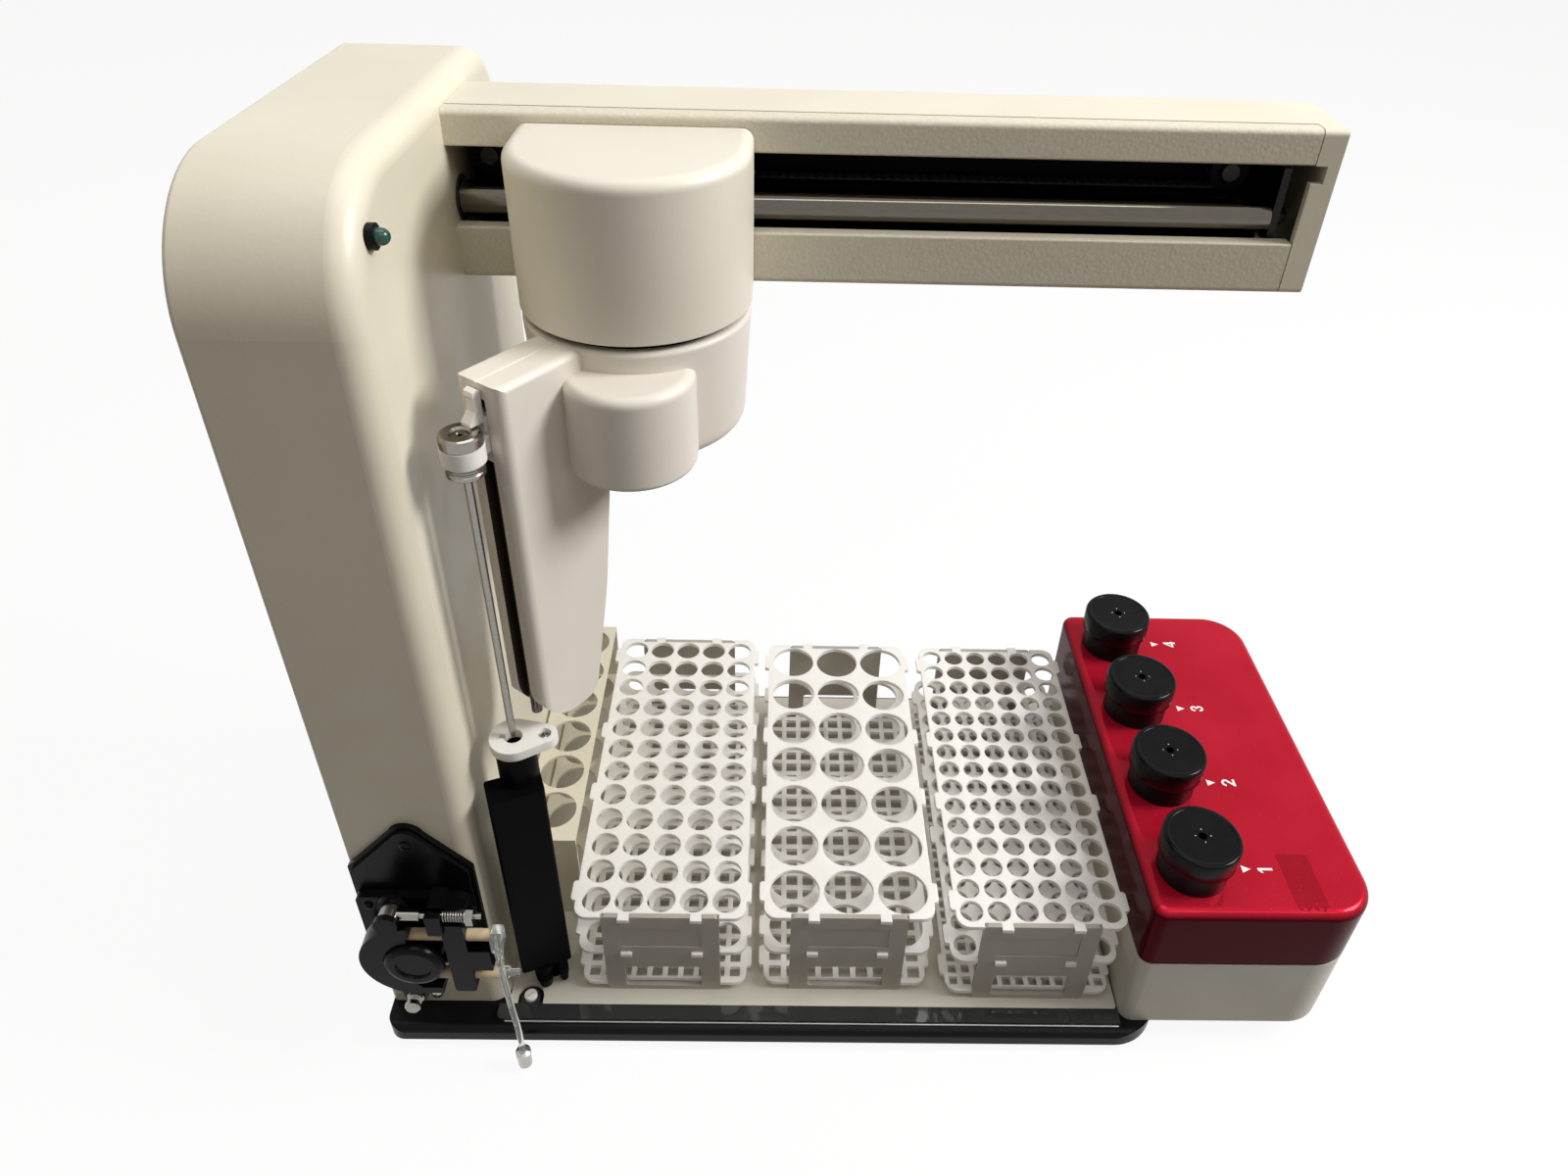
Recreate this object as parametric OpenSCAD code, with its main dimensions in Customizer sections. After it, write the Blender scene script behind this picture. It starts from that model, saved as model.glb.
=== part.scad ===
// Autosampler: a tower and arm carry a swinging probe head over three tube racks.
// A rinse post, a small tubing pump and a pod with four knobs share the base.
// Millimetres, Z up, the front is minus Y, the bench is at Z 0.

/* [Base] */
// length of the black base tray
base_l = 489; // [470:1:510]
// depth of the base tray, front to back
base_w = 295; // [290:1:305]
// height of the tray walls
tray_h = 12; // [10:1:16]
// height of the rubber feet
foot_h = 7; // [5:1:10]
// thickness of the deck sheet
deck_t = 2; // [1.5:0.5:3]

/* [Tower] */
// width of the tower, left to right
tower_w = 74; // [70:1:80]
// depth of the tower, front to back
tower_d = 261; // [255:1:268]
// height of the tower above the tray
tower_h = 523; // [500:1:560]
// radius of the top front corner
front_r = 60; // [45:1:70]
// radius of the top back corner
back_r = 30; // [25:1:45]
// radius of the long edges
edge_r = 12; // [8:1:14]
// thickness of the left side panel
panel_t = 5; // [4:0.5:6]

/* [Arm] */
// length of the arm from the tower face
arm_l = 438; // [430:1:445]
// depth of the arm
arm_w = 52; // [50:1:56]
// height of the arm
arm_h = 84.5; // [82:0.5:90]
// wall of the arm covers and beam
arm_wall = 4; // [3:0.5:5]
// height of the front slot
slot_h = 40; // [38:1:42]
// diameter of the guide shaft
shaft_d = 12; // [10:1:14]

/* [Head] */
// radius of the carriage cover
head_r = 57.5; // [56:0.5:58.5]
// height of the carriage cover
cover_h = 76; // [74:1:78]
// height of the swinging rotor
rotor_h = 63.8; // [60:0.2:68]
// reach of the wing from the head axis
wing_reach = 105; // [103:0.5:107]
// thickness of the wing
wing_t = 29; // [27:0.5:31]
// direction of the wing at home, degrees from plus X
home_deg = -126; // [-128:1:-124]
// reach of the probe from the head axis
probe_reach = 117.5; // [116:0.5:119]
// outside diameter of the probe
probe_d = 4; // [3:0.1:5]
// diameter of the lift rod
rod_d = 6; // [5:0.5:7]

/* [Racks] */
// width of a rack plate
rack_w = 105; // [103:0.5:105.5]
// height of a rack above the deck
rack_h = 76; // [70:1:84]
// thickness of the rack plates
plate_t = 3; // [2.5:0.5:4]
// tube hole of the left rack
tube_a = 17.5; // [16:0.1:18]
// tube hole of the middle rack
tube_b = 31; // [28:0.1:31.4]
// tube hole of the right rack
tube_c = 14.2; // [12:0.1:14.6]
// bottle hole of the standards rack
tube_s = 29.5; // [26:0.1:30]

/* [Pod] */
// width of the valve pod
pod_w = 135; // [130:1:140]
// length of the valve pod, front to back
pod_l = 268; // [262:1:274]
// height of the cream lower body
pod_body_h = 61; // [55:1:66]
// height of the red lid
pod_lid_h = 48; // [44:1:54]
// diameter of the knobs
knob_d = 46; // [42:1:50]
// height of the knobs
knob_h = 31; // [28:1:34]

/* [Pump] */
// radius of the tubing loop
loop_r = 18.5; // [18:0.1:19]
// outside diameter of the pump tubing
hose_d = 7; // [6:0.1:7.2]
// turns of the clamp spring
spring_turns = 8; // [6:1:9]
// wire of the clamp spring
spring_wire = 0.8; // [0.6:0.1:0.9]
// diameter of the drain tube
drain_d = 3.7; // [3:0.1:4]

/* [Fits] */
// radial gap of running fits
run_gap = 0.05; // [0.02:0.01:0.09]
// gap between faces that pass each other
pass_gap = 0.5; // [0.3:0.1:0.6]

/* [Hidden] */
$fn = 64;
left_x = -(base_l + pod_w - 26) / 2;
back_y = (base_w + 15) / 2;
front_y = back_y - base_w;
base_x1 = left_x + base_l;
tray_z = foot_h;
base_z = tray_z + tray_h;
deck_z = base_z + deck_t;
tower_x1 = left_x + tower_w;
tower_y0 = front_y + 19;
tower_y1 = tower_y0 + tower_d;
tower_z1 = base_z + tower_h;
deck_x1 = base_x1 - 27;
deck_y0 = front_y + 16;
deck_y1 = back_y - 3;
arm_x1 = tower_x1 + arm_l;
cap_x = arm_x1 - 12;
arm_y0 = front_y + 164;
arm_y1 = arm_y0 + arm_w;
arm_z1 = tower_z1 - 9;
arm_z0 = arm_z1 - arm_h;
slot_z0 = arm_z0 + 27;
slot_z1 = slot_z0 + slot_h;
shaft_y = arm_y0 + 16;
shaft_z = slot_z0 + 9.5;
axis_x = tower_x1 + 92.5;
axis_y = arm_y0 - 26;
cover_back = arm_y0 - pass_gap - axis_y;
bush_r = shaft_d / 2 + 1.4;
rotor_z1 = arm_z0 - 0.7;
rotor_z0 = rotor_z1 - rotor_h;
cover_z0 = rotor_z1 + 3.7;
cover_z1 = cover_z0 + cover_h;
wing_z1 = rotor_z1 - 0.3;
wing_z0 = wing_z1 - 208;
rinse_z1 = wing_z0 - 3.5;
probe_z0 = wing_z0 - 2.7;
slider_z = wing_z1 - 34.5;
rod_reach = wing_reach - 6;
probe_x = axis_x + probe_reach * cos(home_deg);
probe_y = axis_y + probe_reach * sin(home_deg);
rack_z1 = deck_z + rack_h;
rack_a_x = tower_x1 + 97.5;
rack_b_x = tower_x1 + 213.4;
rack_c_x = tower_x1 + 330.9;
rack_a_y = front_y + 27;
rack_b_y = front_y + 28;
rack_c_y = front_y + 23;
pod_x0 = base_x1 - 26;
pod_x1 = pod_x0 + pod_w;
pod_y0 = front_y + 10;
pod_y1 = pod_y0 + pod_l;
gasket_z = base_z + pod_body_h;
lid_z0 = gasket_z + 2;
lid_z1 = lid_z0 + pod_lid_h;
knob_x = pod_x0 + 29.3;
knob_pitch = (pod_l - 66.4) / 3;
knob_y0 = pod_y0 + 32.2;
pump_x = left_x + 37;
pump_z = base_z + 89;
pump_y = tower_y0 - 24;
pivot_x = pump_x - 8;
pivot_z = pump_z - 42;
post_x = pump_x - 9;
post_z = pump_z + 38;
spring_x0 = pump_x + 20.7;
spring_x1 = pump_x + 33;
cream = [0.86, 0.84, 0.78];
white = [0.93, 0.93, 0.91];
black = [0.08, 0.08, 0.09];
steel = [0.72, 0.72, 0.74];

// a rectangle with four corner radii: left front, right front, right back, left back
module plan(x0, y0, x1, y1, a, b, c, d) {
  difference() {
    translate([x0, y0]) square([x1 - x0, y1 - y0]);
    corner(x0, y0, 1, 1, a);
    corner(x1, y0, -1, 1, b);
    corner(x1, y1, -1, -1, c);
    corner(x0, y1, 1, -1, d);
  }
}

// the sliver outside a rounded corner
module corner(x, y, sx, sy, r) {
  if (r > 0) translate([x, y]) scale([sx, sy]) difference() {
    translate([-1, -1]) square(r + 1);
    translate([r, r]) circle(r);
  }
}

// a flat prism along X drawn in Y and Z
module along_x(x0, x1) {
  translate([x0, 0, 0]) rotate([90, 0, 90]) linear_extrude(x1 - x0) children();
}

// a flat prism along Y drawn in X and Z
module along_y(y0, y1) {
  translate([0, y1, 0]) rotate([90, 0, 0]) linear_extrude(y1 - y0) children();
}

// a round bar along X, Y or Z
module bar_x(x0, x1, y, z, r) {
  translate([x0, y, z]) rotate([0, 90, 0]) cylinder(r = r, h = x1 - x0);
}
module bar_y(y0, y1, x, z, r) {
  translate([x, y0, z]) rotate([-90, 0, 0]) cylinder(r = r, h = y1 - y0);
}
module bar_z(z0, z1, x, y, r) {
  translate([x, y, z0]) cylinder(r = r, h = z1 - z0);
}
module box(x0, y0, z0, x1, y1, z1) {
  translate([x0, y0, z0]) cube([x1 - x0, y1 - y0, z1 - z0]);
}

// a pan head screw pointing down, its seat at the origin
module pan_screw(r, h) {
  difference() {
    rotate_extrude() polygon([[0, 0], [r, 0], [r, h * 0.45], [r * 0.75, h * 0.85], [r * 0.4, h], [0, h]]);
    translate([-r * 0.6, -r * 0.12, h * 0.55]) cube([r * 1.2, r * 0.24, h]);
    translate([-r * 0.12, -r * 0.6, h * 0.55]) cube([r * 0.24, r * 1.2, h]);
  }
}

// the tower seen from the side, drawn in Y and Z, set in by d
module side_view(d) {
  plan(tower_y0 + d, base_z, tower_y1 - d, tower_z1 - d, 0, 0, back_r - d, front_r - d);
}

// a slab with the side view and one long edge rolled by r, its flat side at X 0
module rolled_slab(t, r) {
  along_x(0, t - r) side_view(0);
  along_x(0, t) side_view(r);
  bar_z(base_z, tower_z1 - front_r, t - r, tower_y0 + r, r);
  bar_z(base_z, tower_z1 - back_r, t - r, tower_y1 - r, r);
  translate([t - r, tower_y0 + front_r, tower_z1 - r]) rotate([-90, 0, 0])
    cylinder(r = r, h = tower_d - front_r - back_r);
  translate([t - r, tower_y0 + front_r, tower_z1 - front_r]) rotate([90, 0, 90])
    rotate([0, 0, 90]) rotate_extrude(angle = 90) translate([front_r - r, 0]) circle(r);
  translate([t - r, tower_y1 - back_r, tower_z1 - back_r]) rotate([90, 0, 90])
    rotate_extrude(angle = 90) translate([back_r - r, 0]) circle(r);
}

// where the rubber feet of the tray stand
feet_at = [
  [left_x + 32, front_y + 24],
  [base_x1 - 100, front_y + 19],
  [left_x + 32, back_y - 24],
  [base_x1 - 100, back_y - 24]
];

module base_tray() {
  color(black) {
    difference() {
      translate([0, 0, tray_z]) linear_extrude(tray_h) plan(left_x, front_y, base_x1, back_y, 10, 30, 10, 8);
      translate([0, 0, tray_z - 1]) linear_extrude(tray_h - 3)
        plan(left_x + 6, front_y + 7, base_x1 - 6, back_y - 6, 6, 25, 6, 4);
      along_x(left_x - 1, base_x1 + 1) corner(front_y, base_z, 1, -1, 5);
    }
    for (p = feet_at) bar_z(tray_z, base_z - 3, p[0], p[1], 11);
    box(left_x + 100, front_y + 6, tray_z + 2, left_x + 104, back_y - 5, base_z - 3);
    box(left_x + 250, front_y + 6, tray_z + 2, left_x + 254, back_y - 5, base_z - 3);
  }
}

module base_feet() {
  color([0.13, 0.13, 0.13]) {
    for (p = feet_at) translate([p[0], p[1], 0])
      rotate_extrude() polygon([[0, 0], [8, 0], [9, 1], [10, foot_h], [0, foot_h]]);
    for (y = [pod_y0 + 44, pod_y1 - 44]) translate([pod_x1 - 34, y, 0])
      rotate_extrude() polygon([[0, 0], [10, 0], [11, 1], [12.5, base_z], [0, base_z]]);
  }
}

module deck_plate() {
  color(cream) difference() {
    translate([0, 0, base_z]) linear_extrude(deck_t) difference() {
      plan(tower_x1, deck_y0, deck_x1, deck_y1, 5, 3, 3, 3);
      translate([tower_x1 + 13, deck_y0 + 5]) circle(8);
      translate([tower_x1 + 5, deck_y0 - 1]) square([16, 6]);
    }
  }
}

// two clear strips that butt together in front of the deck, with a nylon screw
module clear_strip() {
  color([0.8, 0.85, 0.86, 0.45]) {
    translate([0, 0, base_z]) linear_extrude(3) {
      polygon([
        [tower_x1 - 6, deck_y0 - 0.3], [tower_x1 - 6, front_y + 8], [tower_x1 - 4, front_y + 5.5],
        [deck_x1 - 32.3, front_y + 5.5], [deck_x1 - 32.3, deck_y0 - 0.3]
      ]);
      translate([tower_x1 + 13, deck_y0 + 4]) circle(6);
      translate([tower_x1 + 7, deck_y0 - 0.3]) square([12, 4.3]);
    }
    box(deck_x1 - 31.7, front_y + 5.5, base_z, deck_x1, deck_y0 - 0.3, base_z + 3);
    translate([tower_x1 + 13, deck_y0 + 4.5, base_z + 3]) pan_screw(3.6, 2.4);
  }
}

module tower_shell() {
  color(cream) translate([left_x + panel_t, 0, 0]) difference() {
    rolled_slab(tower_w - panel_t, edge_r);
    along_x(-1, tower_w - panel_t - edge_r) side_view(3.5);
    along_x(-1, tower_w - panel_t - 3.5) side_view(edge_r + 1);
  }
}

module tower_side_panel() {
  color(cream) translate([left_x + panel_t, 0, 0]) mirror([1, 0, 0]) rolled_slab(panel_t, panel_t / 2);
}

module led_bezel() {
  color(black) difference() {
    bar_x(tower_x1, tower_x1 + 3, tower_y0 + 28, tower_z1 - 27, 5.5);
    bar_x(tower_x1 + 1, tower_x1 + 4, tower_y0 + 28, tower_z1 - 27, 3.6);
  }
}

module led_lens() {
  color([0.05, 0.35, 0.18]) {
    bar_x(tower_x1 + 1, tower_x1 + 5, tower_y0 + 28, tower_z1 - 27, 3.6);
    translate([tower_x1 + 5, tower_y0 + 28, tower_z1 - 27]) sphere(3.6);
  }
}

// the screw low on the tower front, the pump plate screws and the rinse cap screw
module panel_screws() {
  color(steel) {
    translate([left_x + 29, tower_y0, base_z + 9]) rotate([90, 0, 0]) pan_screw(3.6, 2.6);
    rinse_screw();
  }
}

module arm_beam() {
  color(cream) {
    box(tower_x1, arm_y1 - arm_wall, arm_z0, cap_x, arm_y1, arm_z1);
    for (z = [arm_z0, arm_z1 - arm_wall]) box(tower_x1, arm_y0 + 10.4, z, cap_x, arm_y1 - 1, z + arm_wall);
    for (z = [arm_z0 + arm_wall, arm_z1 - arm_wall - 3])
      box(tower_x1, arm_y0 + arm_wall, z, cap_x, arm_y0 + 14, z + 3);
  }
}

// one front cover of the arm, drawn at the top, in Y and Z
module cover_section() {
  difference() {
    union() {
      translate([arm_y0, slot_z1]) square([arm_wall, arm_z1 - slot_z1]);
      translate([arm_y0, arm_z1 - arm_wall]) square([9, arm_wall]);
      translate([arm_y0, slot_z1]) square([8, 2.5]);
    }
    corner(arm_y0, arm_z1, 1, -1, 3);
    corner(arm_y0, slot_z1, 1, 1, 1.2);
  }
}

module arm_upper_cover() {
  color(cream) along_x(tower_x1, cap_x - 0.6) cover_section();
}

module arm_lower_cover() {
  color(cream) along_x(tower_x1, cap_x - 0.6) {
    difference() {
      union() {
        translate([arm_y0, arm_z0]) square([arm_wall, slot_z0 - arm_z0]);
        translate([arm_y0, arm_z0]) square([9, arm_wall]);
        translate([arm_y0, slot_z0 - 2.5]) square([8, 2.5]);
      }
      corner(arm_y0, arm_z0, 1, 1, 3);
      corner(arm_y0, slot_z0, 1, -1, 1.2);
    }
  }
}

module arm_liner() {
  color(black) {
    box(tower_x1, arm_y1 - arm_wall - 2, arm_z0 + arm_wall, cap_x, arm_y1 - arm_wall, arm_z1 - arm_wall);
    box(tower_x1, arm_y0 + 14, arm_z0 + arm_wall, cap_x, arm_y1 - arm_wall - 1, arm_z0 + arm_wall + 2);
    box(tower_x1, arm_y0 + 14, arm_z1 - arm_wall - 2, cap_x, arm_y1 - arm_wall - 1, arm_z1 - arm_wall);
  }
}

module arm_end_cap() {
  color(cream) difference() {
    along_x(cap_x, arm_x1) plan(arm_y0, arm_z0, arm_y1, arm_z1, 3, 3, 3, 3);
    along_x(cap_x - 1, arm_x1 - 4) plan(arm_y0 + 4, arm_z0 + 4, arm_y1 - 4, arm_z1 - 4, 2, 2, 2, 2);
    box(cap_x - 1, arm_y0 - 1, slot_z1 - 9, cap_x + 6, arm_y0 + 5, slot_z1);
  }
}

module guide_shaft() {
  color(steel) bar_x(tower_x1, cap_x - 11, shaft_y, shaft_z, shaft_d / 2);
}

module end_bracket() {
  color(steel) {
    box(cap_x - 11, arm_y0 + 8.4, slot_z0 - 2, cap_x - 7, arm_y1 - arm_wall - 2, slot_z1 - 4);
    translate([cap_x - 7, shaft_y, shaft_z]) rotate([0, 90, 0]) cylinder(r = 6, h = 1);
    translate([cap_x - 6, shaft_y, shaft_z]) rotate([0, 90, 0]) cylinder(r = 4.6, h = 4, $fn = 6);
  }
}

belt_r = 8;
belt_z = shaft_z + 18;
belt_y = arm_y0 + 30.5;
pulley_at = [tower_x1 + 14, cap_x - 30];

module drive_belt() {
  color([0.05, 0.05, 0.05]) along_y(belt_y, belt_y + 8) difference() {
    belt_loop(belt_r + 1.4);
    belt_loop(belt_r);
  }
}

module belt_loop(r) {
  for (x = pulley_at) translate([x, belt_z]) circle(r);
  translate([pulley_at[0], belt_z - r]) square([pulley_at[1] - pulley_at[0], 2 * r]);
}

// the end bracket of the shaft, its bolt and the two belt axles
module shaft_bracket() {
  end_bracket();
  color(steel) for (x = pulley_at) {
    bar_y(belt_y - 3, arm_y1 - arm_wall - 2, x, belt_z, 3);
    bar_y(belt_y - 4, belt_y - 2.4, x, belt_z, 4.5);
    bar_y(belt_y + 10.4, arm_y1 - arm_wall - 2, x, belt_z, 5);
  }
}

module pulley(x) {
  difference() {
    union() {
      bar_y(belt_y - 1, belt_y + 9, x, belt_z, belt_r - 0.35);
      bar_y(belt_y - 2, belt_y - 0.6, x, belt_z, belt_r + 2);
      bar_y(belt_y + 8.6, belt_y + 10, x, belt_z, belt_r + 2);
    }
    bar_y(belt_y - 3, belt_y + 11, x, belt_z, 3 + run_gap);
    for (a = [0:60:300]) bar_y(belt_y - 3, belt_y + 11, x + 5.4 * cos(a), belt_z + 5.4 * sin(a), 1);
  }
}

module drive_pulley() {
  color(steel) pulley(pulley_at[0]);
}

module idler_pulley() {
  color(steel) pulley(pulley_at[1]);
}

// a plan with a half round front and a flat back
module dee(r, yb) {
  difference() {
    circle(r);
    translate([-r - 1, 0]) square([2 * r + 2, r + 1]);
  }
  translate([-r, 0]) square([2 * r, yb]);
}

// the same plan as a solid, its top edge rolled by t and its bottom edge by b
module dee_solid(r, z0, z1, yb, t, b) {
  rotate([0, 0, 180]) rotate_extrude(angle = 180) plan(0, z0, r, z1, 0, b, t, 0);
  along_y(0, yb) plan(-r, z0, r, z1, b, b, t, t);
}

module carriage_cover() {
  color(white) translate([axis_x, axis_y, 0]) difference() {
    dee_solid(head_r, cover_z0, cover_z1, cover_back, 6, 0.8);
    dee_solid(head_r - 3, cover_z0 - 5, cover_z1 - 3, cover_back + 1, 4, 0);
  }
}

module carriage_block() {
  color([0.2, 0.2, 0.21]) difference() {
    union() {
      box(axis_x - 45, arm_y0 + 8.5, slot_z0 - 5, axis_x + 45, arm_y0 + 25.5, slot_z1 - 2);
      box(axis_x - 40, arm_y0 - 6, slot_z0 + 2, axis_x + 40, arm_y0 + 10, slot_z1 - 2);
      box(axis_x - 48, arm_y0 - 6, cover_z0, axis_x + 48, arm_y0 - pass_gap, slot_z1 - 2);
      translate([axis_x, axis_y, cover_z0]) linear_extrude(4) dee(head_r - 3, cover_back);
      translate([axis_x, axis_y, cover_z0 + 1]) cylinder(r = 19, h = 9);
      box(axis_x - 15, arm_y0 + 24, belt_z - 6, axis_x + 15, belt_y + 7, belt_z + 6);
    }
    bar_x(axis_x - 46, axis_x + 46, shaft_y, shaft_z, bush_r);
    translate([axis_x, axis_y, cover_z0 - 1]) cylinder(r = 12 + run_gap, h = 20);
  }
}

module carriage_bushes() {
  color([0.75, 0.6, 0.3]) for (x = [axis_x - 45, axis_x + 25]) difference() {
    bar_x(x, x + 20, shaft_y, shaft_z, bush_r);
    bar_x(x - 1, x + 21, shaft_y, shaft_z, shaft_d / 2 + run_gap);
  }
}

// points of a quarter round in the profile plane, from angle a over 90 degrees
function quarter(x, y, r, a) = [for (i = [0:6]) [x + r * cos(a + i * 15), y + r * sin(a + i * 15)]];

rotor_r = head_r - 0.5;

// the rotor without its hollow
module rotor_outer() {
  rotate_extrude() polygon(concat(
    [[0, rotor_z0]],
    quarter(rotor_r - 3 - 9, rotor_z0 + 9, 9, -90),
    quarter(rotor_r - 2.5, rotor_z1 - 2.5, 2.5, 0),
    [[0, rotor_z1]]
  ));
  translate([0, -50, 0]) dee_solid(32, rotor_z0 + 3, rotor_z1 - 10.8, 40, 5, 3);
}

// what the wing halves are cut back by: the cone of the rotor wall and the bump
module rotor_side() {
  h = rotor_h - 11.5;
  k = 3 / h;
  translate([0, 0, rotor_z0]) cylinder(r1 = rotor_r - 3 - 9 * k, r2 = rotor_r + 4 * k, h = rotor_h + 1.5);
  translate([0, -50, 0]) dee_solid(32, rotor_z0 + 3, rotor_z1 - 10.8, 40, 5, 3);
}

module rotor_housing() {
  color(white) translate([axis_x, axis_y, 0]) {
    difference() {
      rotor_outer();
      translate([0, 0, rotor_z0 + 3.5]) cylinder(r = rotor_r - 8.5, h = rotor_h);
      translate([0, 0, rotor_z1 - 3]) cylinder(r = rotor_r - 5.5, h = 4);
      translate([0, -50, 0]) dee_solid(28.5, rotor_z0 + 6.5, rotor_z1 - 14.3, 40, 2, 1);
    }
    translate([10.5, -66, rotor_z0 - 3]) cylinder(r = 2.5, h = 7);
  }
}

// the plate and spindle that carry the rotor in the carriage
module rotor_spindle() {
  color(steel) translate([axis_x, axis_y, 0]) {
    translate([0, 0, rotor_z1 - 3]) cylinder(r = rotor_r - 5.5, h = 3);
    translate([0, 0, rotor_z1 - 0.5]) cylinder(r = 12, h = 26);
    translate([0, 0, cover_z0 + 10.4]) cylinder(r = 17, h = 5);
  }
}

// side view of the wing, drawn with reach across and height up
module wing_view(inner) {
  polygon(concat(
    [[30, wing_z1], [wing_reach, wing_z1]],
    [for (i = [0:8]) [wing_reach - 24 + 24 * cos(i * 11.25), wing_z0 + 24 - 24 * sin(i * 11.25)]],
    [for (i = [0:6]) [75 - 10 * sin(i * 14), wing_z0 + 10 - 10 * cos(i * 14)]],
    inner
  ));
}
near_edge = [
  [54.6, wing_z0 + 56], [51.5, wing_z0 + 71.5], [44.4, wing_z0 + 123], [41, rotor_z0 + 3], [30, rotor_z0 + 3]
];
far_edge = [
  [54.6, wing_z0 + 56], [51.5, wing_z0 + 68], [28, wing_z0 + 118], [22, rotor_z0], [22, rotor_z0 + 2]
];
wing_hollow = [
  [62, wing_z1 - 5], [wing_reach - 15, wing_z1 - 5],
  [wing_reach - 15, wing_z0 + 24], [wing_reach - 24, wing_z0 + 6],
  [76, wing_z0 + 6], [70, wing_z0 + 14], [60, wing_z0 + 56],
  [50, wing_z0 + 124], [50, rotor_z0 - 4], [62, rotor_z0 - 4]
];

// one half of the wing: s is 1 for the half that faces the front, -1 for the other
module wing_half(s, edge) {
  color(white) translate([axis_x, axis_y, 0]) difference() {
    rotate([0, 0, home_deg]) difference() {
      intersection() {
        rotate([90, 0, 0]) translate([0, 0, s > 0 ? -wing_t / 2 : 0])
          linear_extrude(wing_t / 2) wing_view(edge);
        translate([0, 0, wing_z0 - 1]) linear_extrude(230)
          plan(0, s > 0 ? 0 : -wing_t / 2, wing_reach, s > 0 ? wing_t / 2 : 0,
            0, s > 0 ? 0 : 5, s > 0 ? 5 : 0, 0);
      }
      rotate([90, 0, 0]) translate([0, 0, s > 0 ? -wing_t / 2 + 3 : -1])
        linear_extrude(wing_t / 2 - 2) polygon(wing_hollow);
      box(rod_reach - 5.2, -4.5, wing_z0 + 6, wing_reach + 1, 4.5, wing_z1 - 8);
      bar_z(wing_z0 + 2, wing_z1 - 3, rod_reach, 0, rod_d / 2);
      along_x(20, wing_reach + 1) {
        corner(s * wing_t / 2, wing_z1, -s, -1, 3.5);
        corner(0, wing_z1, s, -1, 0.8);
      }
    }
    rotor_side();
  }
}

module wing_front() {
  wing_half(1, near_edge);
}

module wing_back() {
  wing_half(-1, far_edge);
}

// placed on the wing: X along the reach
module on_wing() {
  translate([axis_x, axis_y, 0]) rotate([0, 0, home_deg]) children();
}

module lift_rod() {
  color(steel) on_wing() bar_z(wing_z0 + 2, wing_z1 - 3, rod_reach, 0, rod_d / 2);
}

module z_slider() {
  tube_hook();
  color(white) on_wing() difference() {
    union() {
      box(rod_reach - 4.5, -4, slider_z - 6, wing_reach - 0.2, 4, slider_z + 18);
      box(wing_reach - 1, -4, slider_z, probe_reach - 6, 4, slider_z + 8.4);
      bar_z(slider_z, slider_z + 8.4, probe_reach, 0, 10.2);
    }
    bar_z(slider_z - 7, slider_z + 19, rod_reach, 0, rod_d / 2 + run_gap);
    bar_z(slider_z - 1, slider_z + 9.4, probe_reach, 0, 5);
  }
}

module tube_hook() {
  color(white) on_wing() {
    box(wing_reach - 0.4, -3, slider_z + 10, wing_reach + 0.9, 3, slider_z + 18);
    translate([wing_reach, 3, slider_z]) rotate([90, 0, 0]) linear_extrude(6) polygon([
      [0.6, 15.5], [8.5, 15.5], [8.5, 17], [4.6, 21.5], [3.8, 27],
      [5, 29], [4.6, 31.4], [2.6, 32.4], [0.6, 31.2]
    ]);
  }
}

module probe_clamp() {
  color(steel) on_wing() translate([probe_reach, 0, slider_z]) difference() {
    rotate_extrude() polygon([
      [0, -7], [8.4, -7], [9, -6.4], [9, -4.8], [8.4, -4.2], [8.8, -3.9], [8.8, -3.2], [8.3, -2.9],
      [8.8, -2.6], [8.8, -1.9], [8.3, -1.6], [8.8, -1.3], [8.8, -0.4], [8.3, 0], [5, 0], [5, 8.4],
      [9.3, 8.4], [9.9, 9], [9.9, 13], [9.4, 14.1], [8.3, 14.6], [5.2, 14.6], [4.2, 13.6], [0, 13.6]
    ]);
    translate([0, 0, -13]) cylinder(r = probe_d / 2, h = 40);
  }
}

module probe() {
  color(steel) on_wing() translate([probe_reach, 0, 0]) rotate_extrude() polygon([
    [0.8, probe_z0], [1.3, probe_z0], [probe_d / 2, probe_z0 + 8], [probe_d / 2, slider_z + 13.1],
    [1, slider_z + 13.1], [1, probe_z0 + 4]
  ]);
}

rinse_turn = 21;
rinse_x = probe_x - 1.6;
rinse_y = probe_y - 8.7;

module rinse_tube() {
  color(black) difference() {
    union() {
      bar_z(deck_z + 26, rinse_z1 - 6, probe_x, probe_y, 11);
      bar_z(deck_z, deck_z + 27, probe_x, probe_y, 6.5);
      bar_z(deck_z, deck_z + 3, probe_x, probe_y, 8.5);
    }
    bar_z(deck_z + 47, rinse_z1, probe_x, probe_y, 4.5);
  }
}

module rinse_block() {
  color(black) difference() {
    translate([rinse_x, rinse_y, 0]) rotate([0, 0, rinse_turn])
      translate([0, 0, deck_z + 26]) linear_extrude(rinse_z1 - deck_z - 56.5)
        plan(-15.5, -9, 15.5, 9, 2, 2, 2, 2);
    bar_z(deck_z, rinse_z1, probe_x, probe_y, 11);
  }
}

// one hose barb with a collar of radius r
module barb(x, y, r) {
  translate([x, y, 0]) rotate_extrude() polygon([
    [0, 0], [r, 0], [r, -4], [r * 0.7, -4], [r * 0.7, -6], [r * 0.9, -8], [r * 0.66, -11], [r * 0.9, -11.5],
    [r * 0.66, -15], [r * 0.86, -15.5], [r * 0.62, -23.5], [1.8, -23.5], [1.8, -6], [0, -6]
  ]);
}

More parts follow.
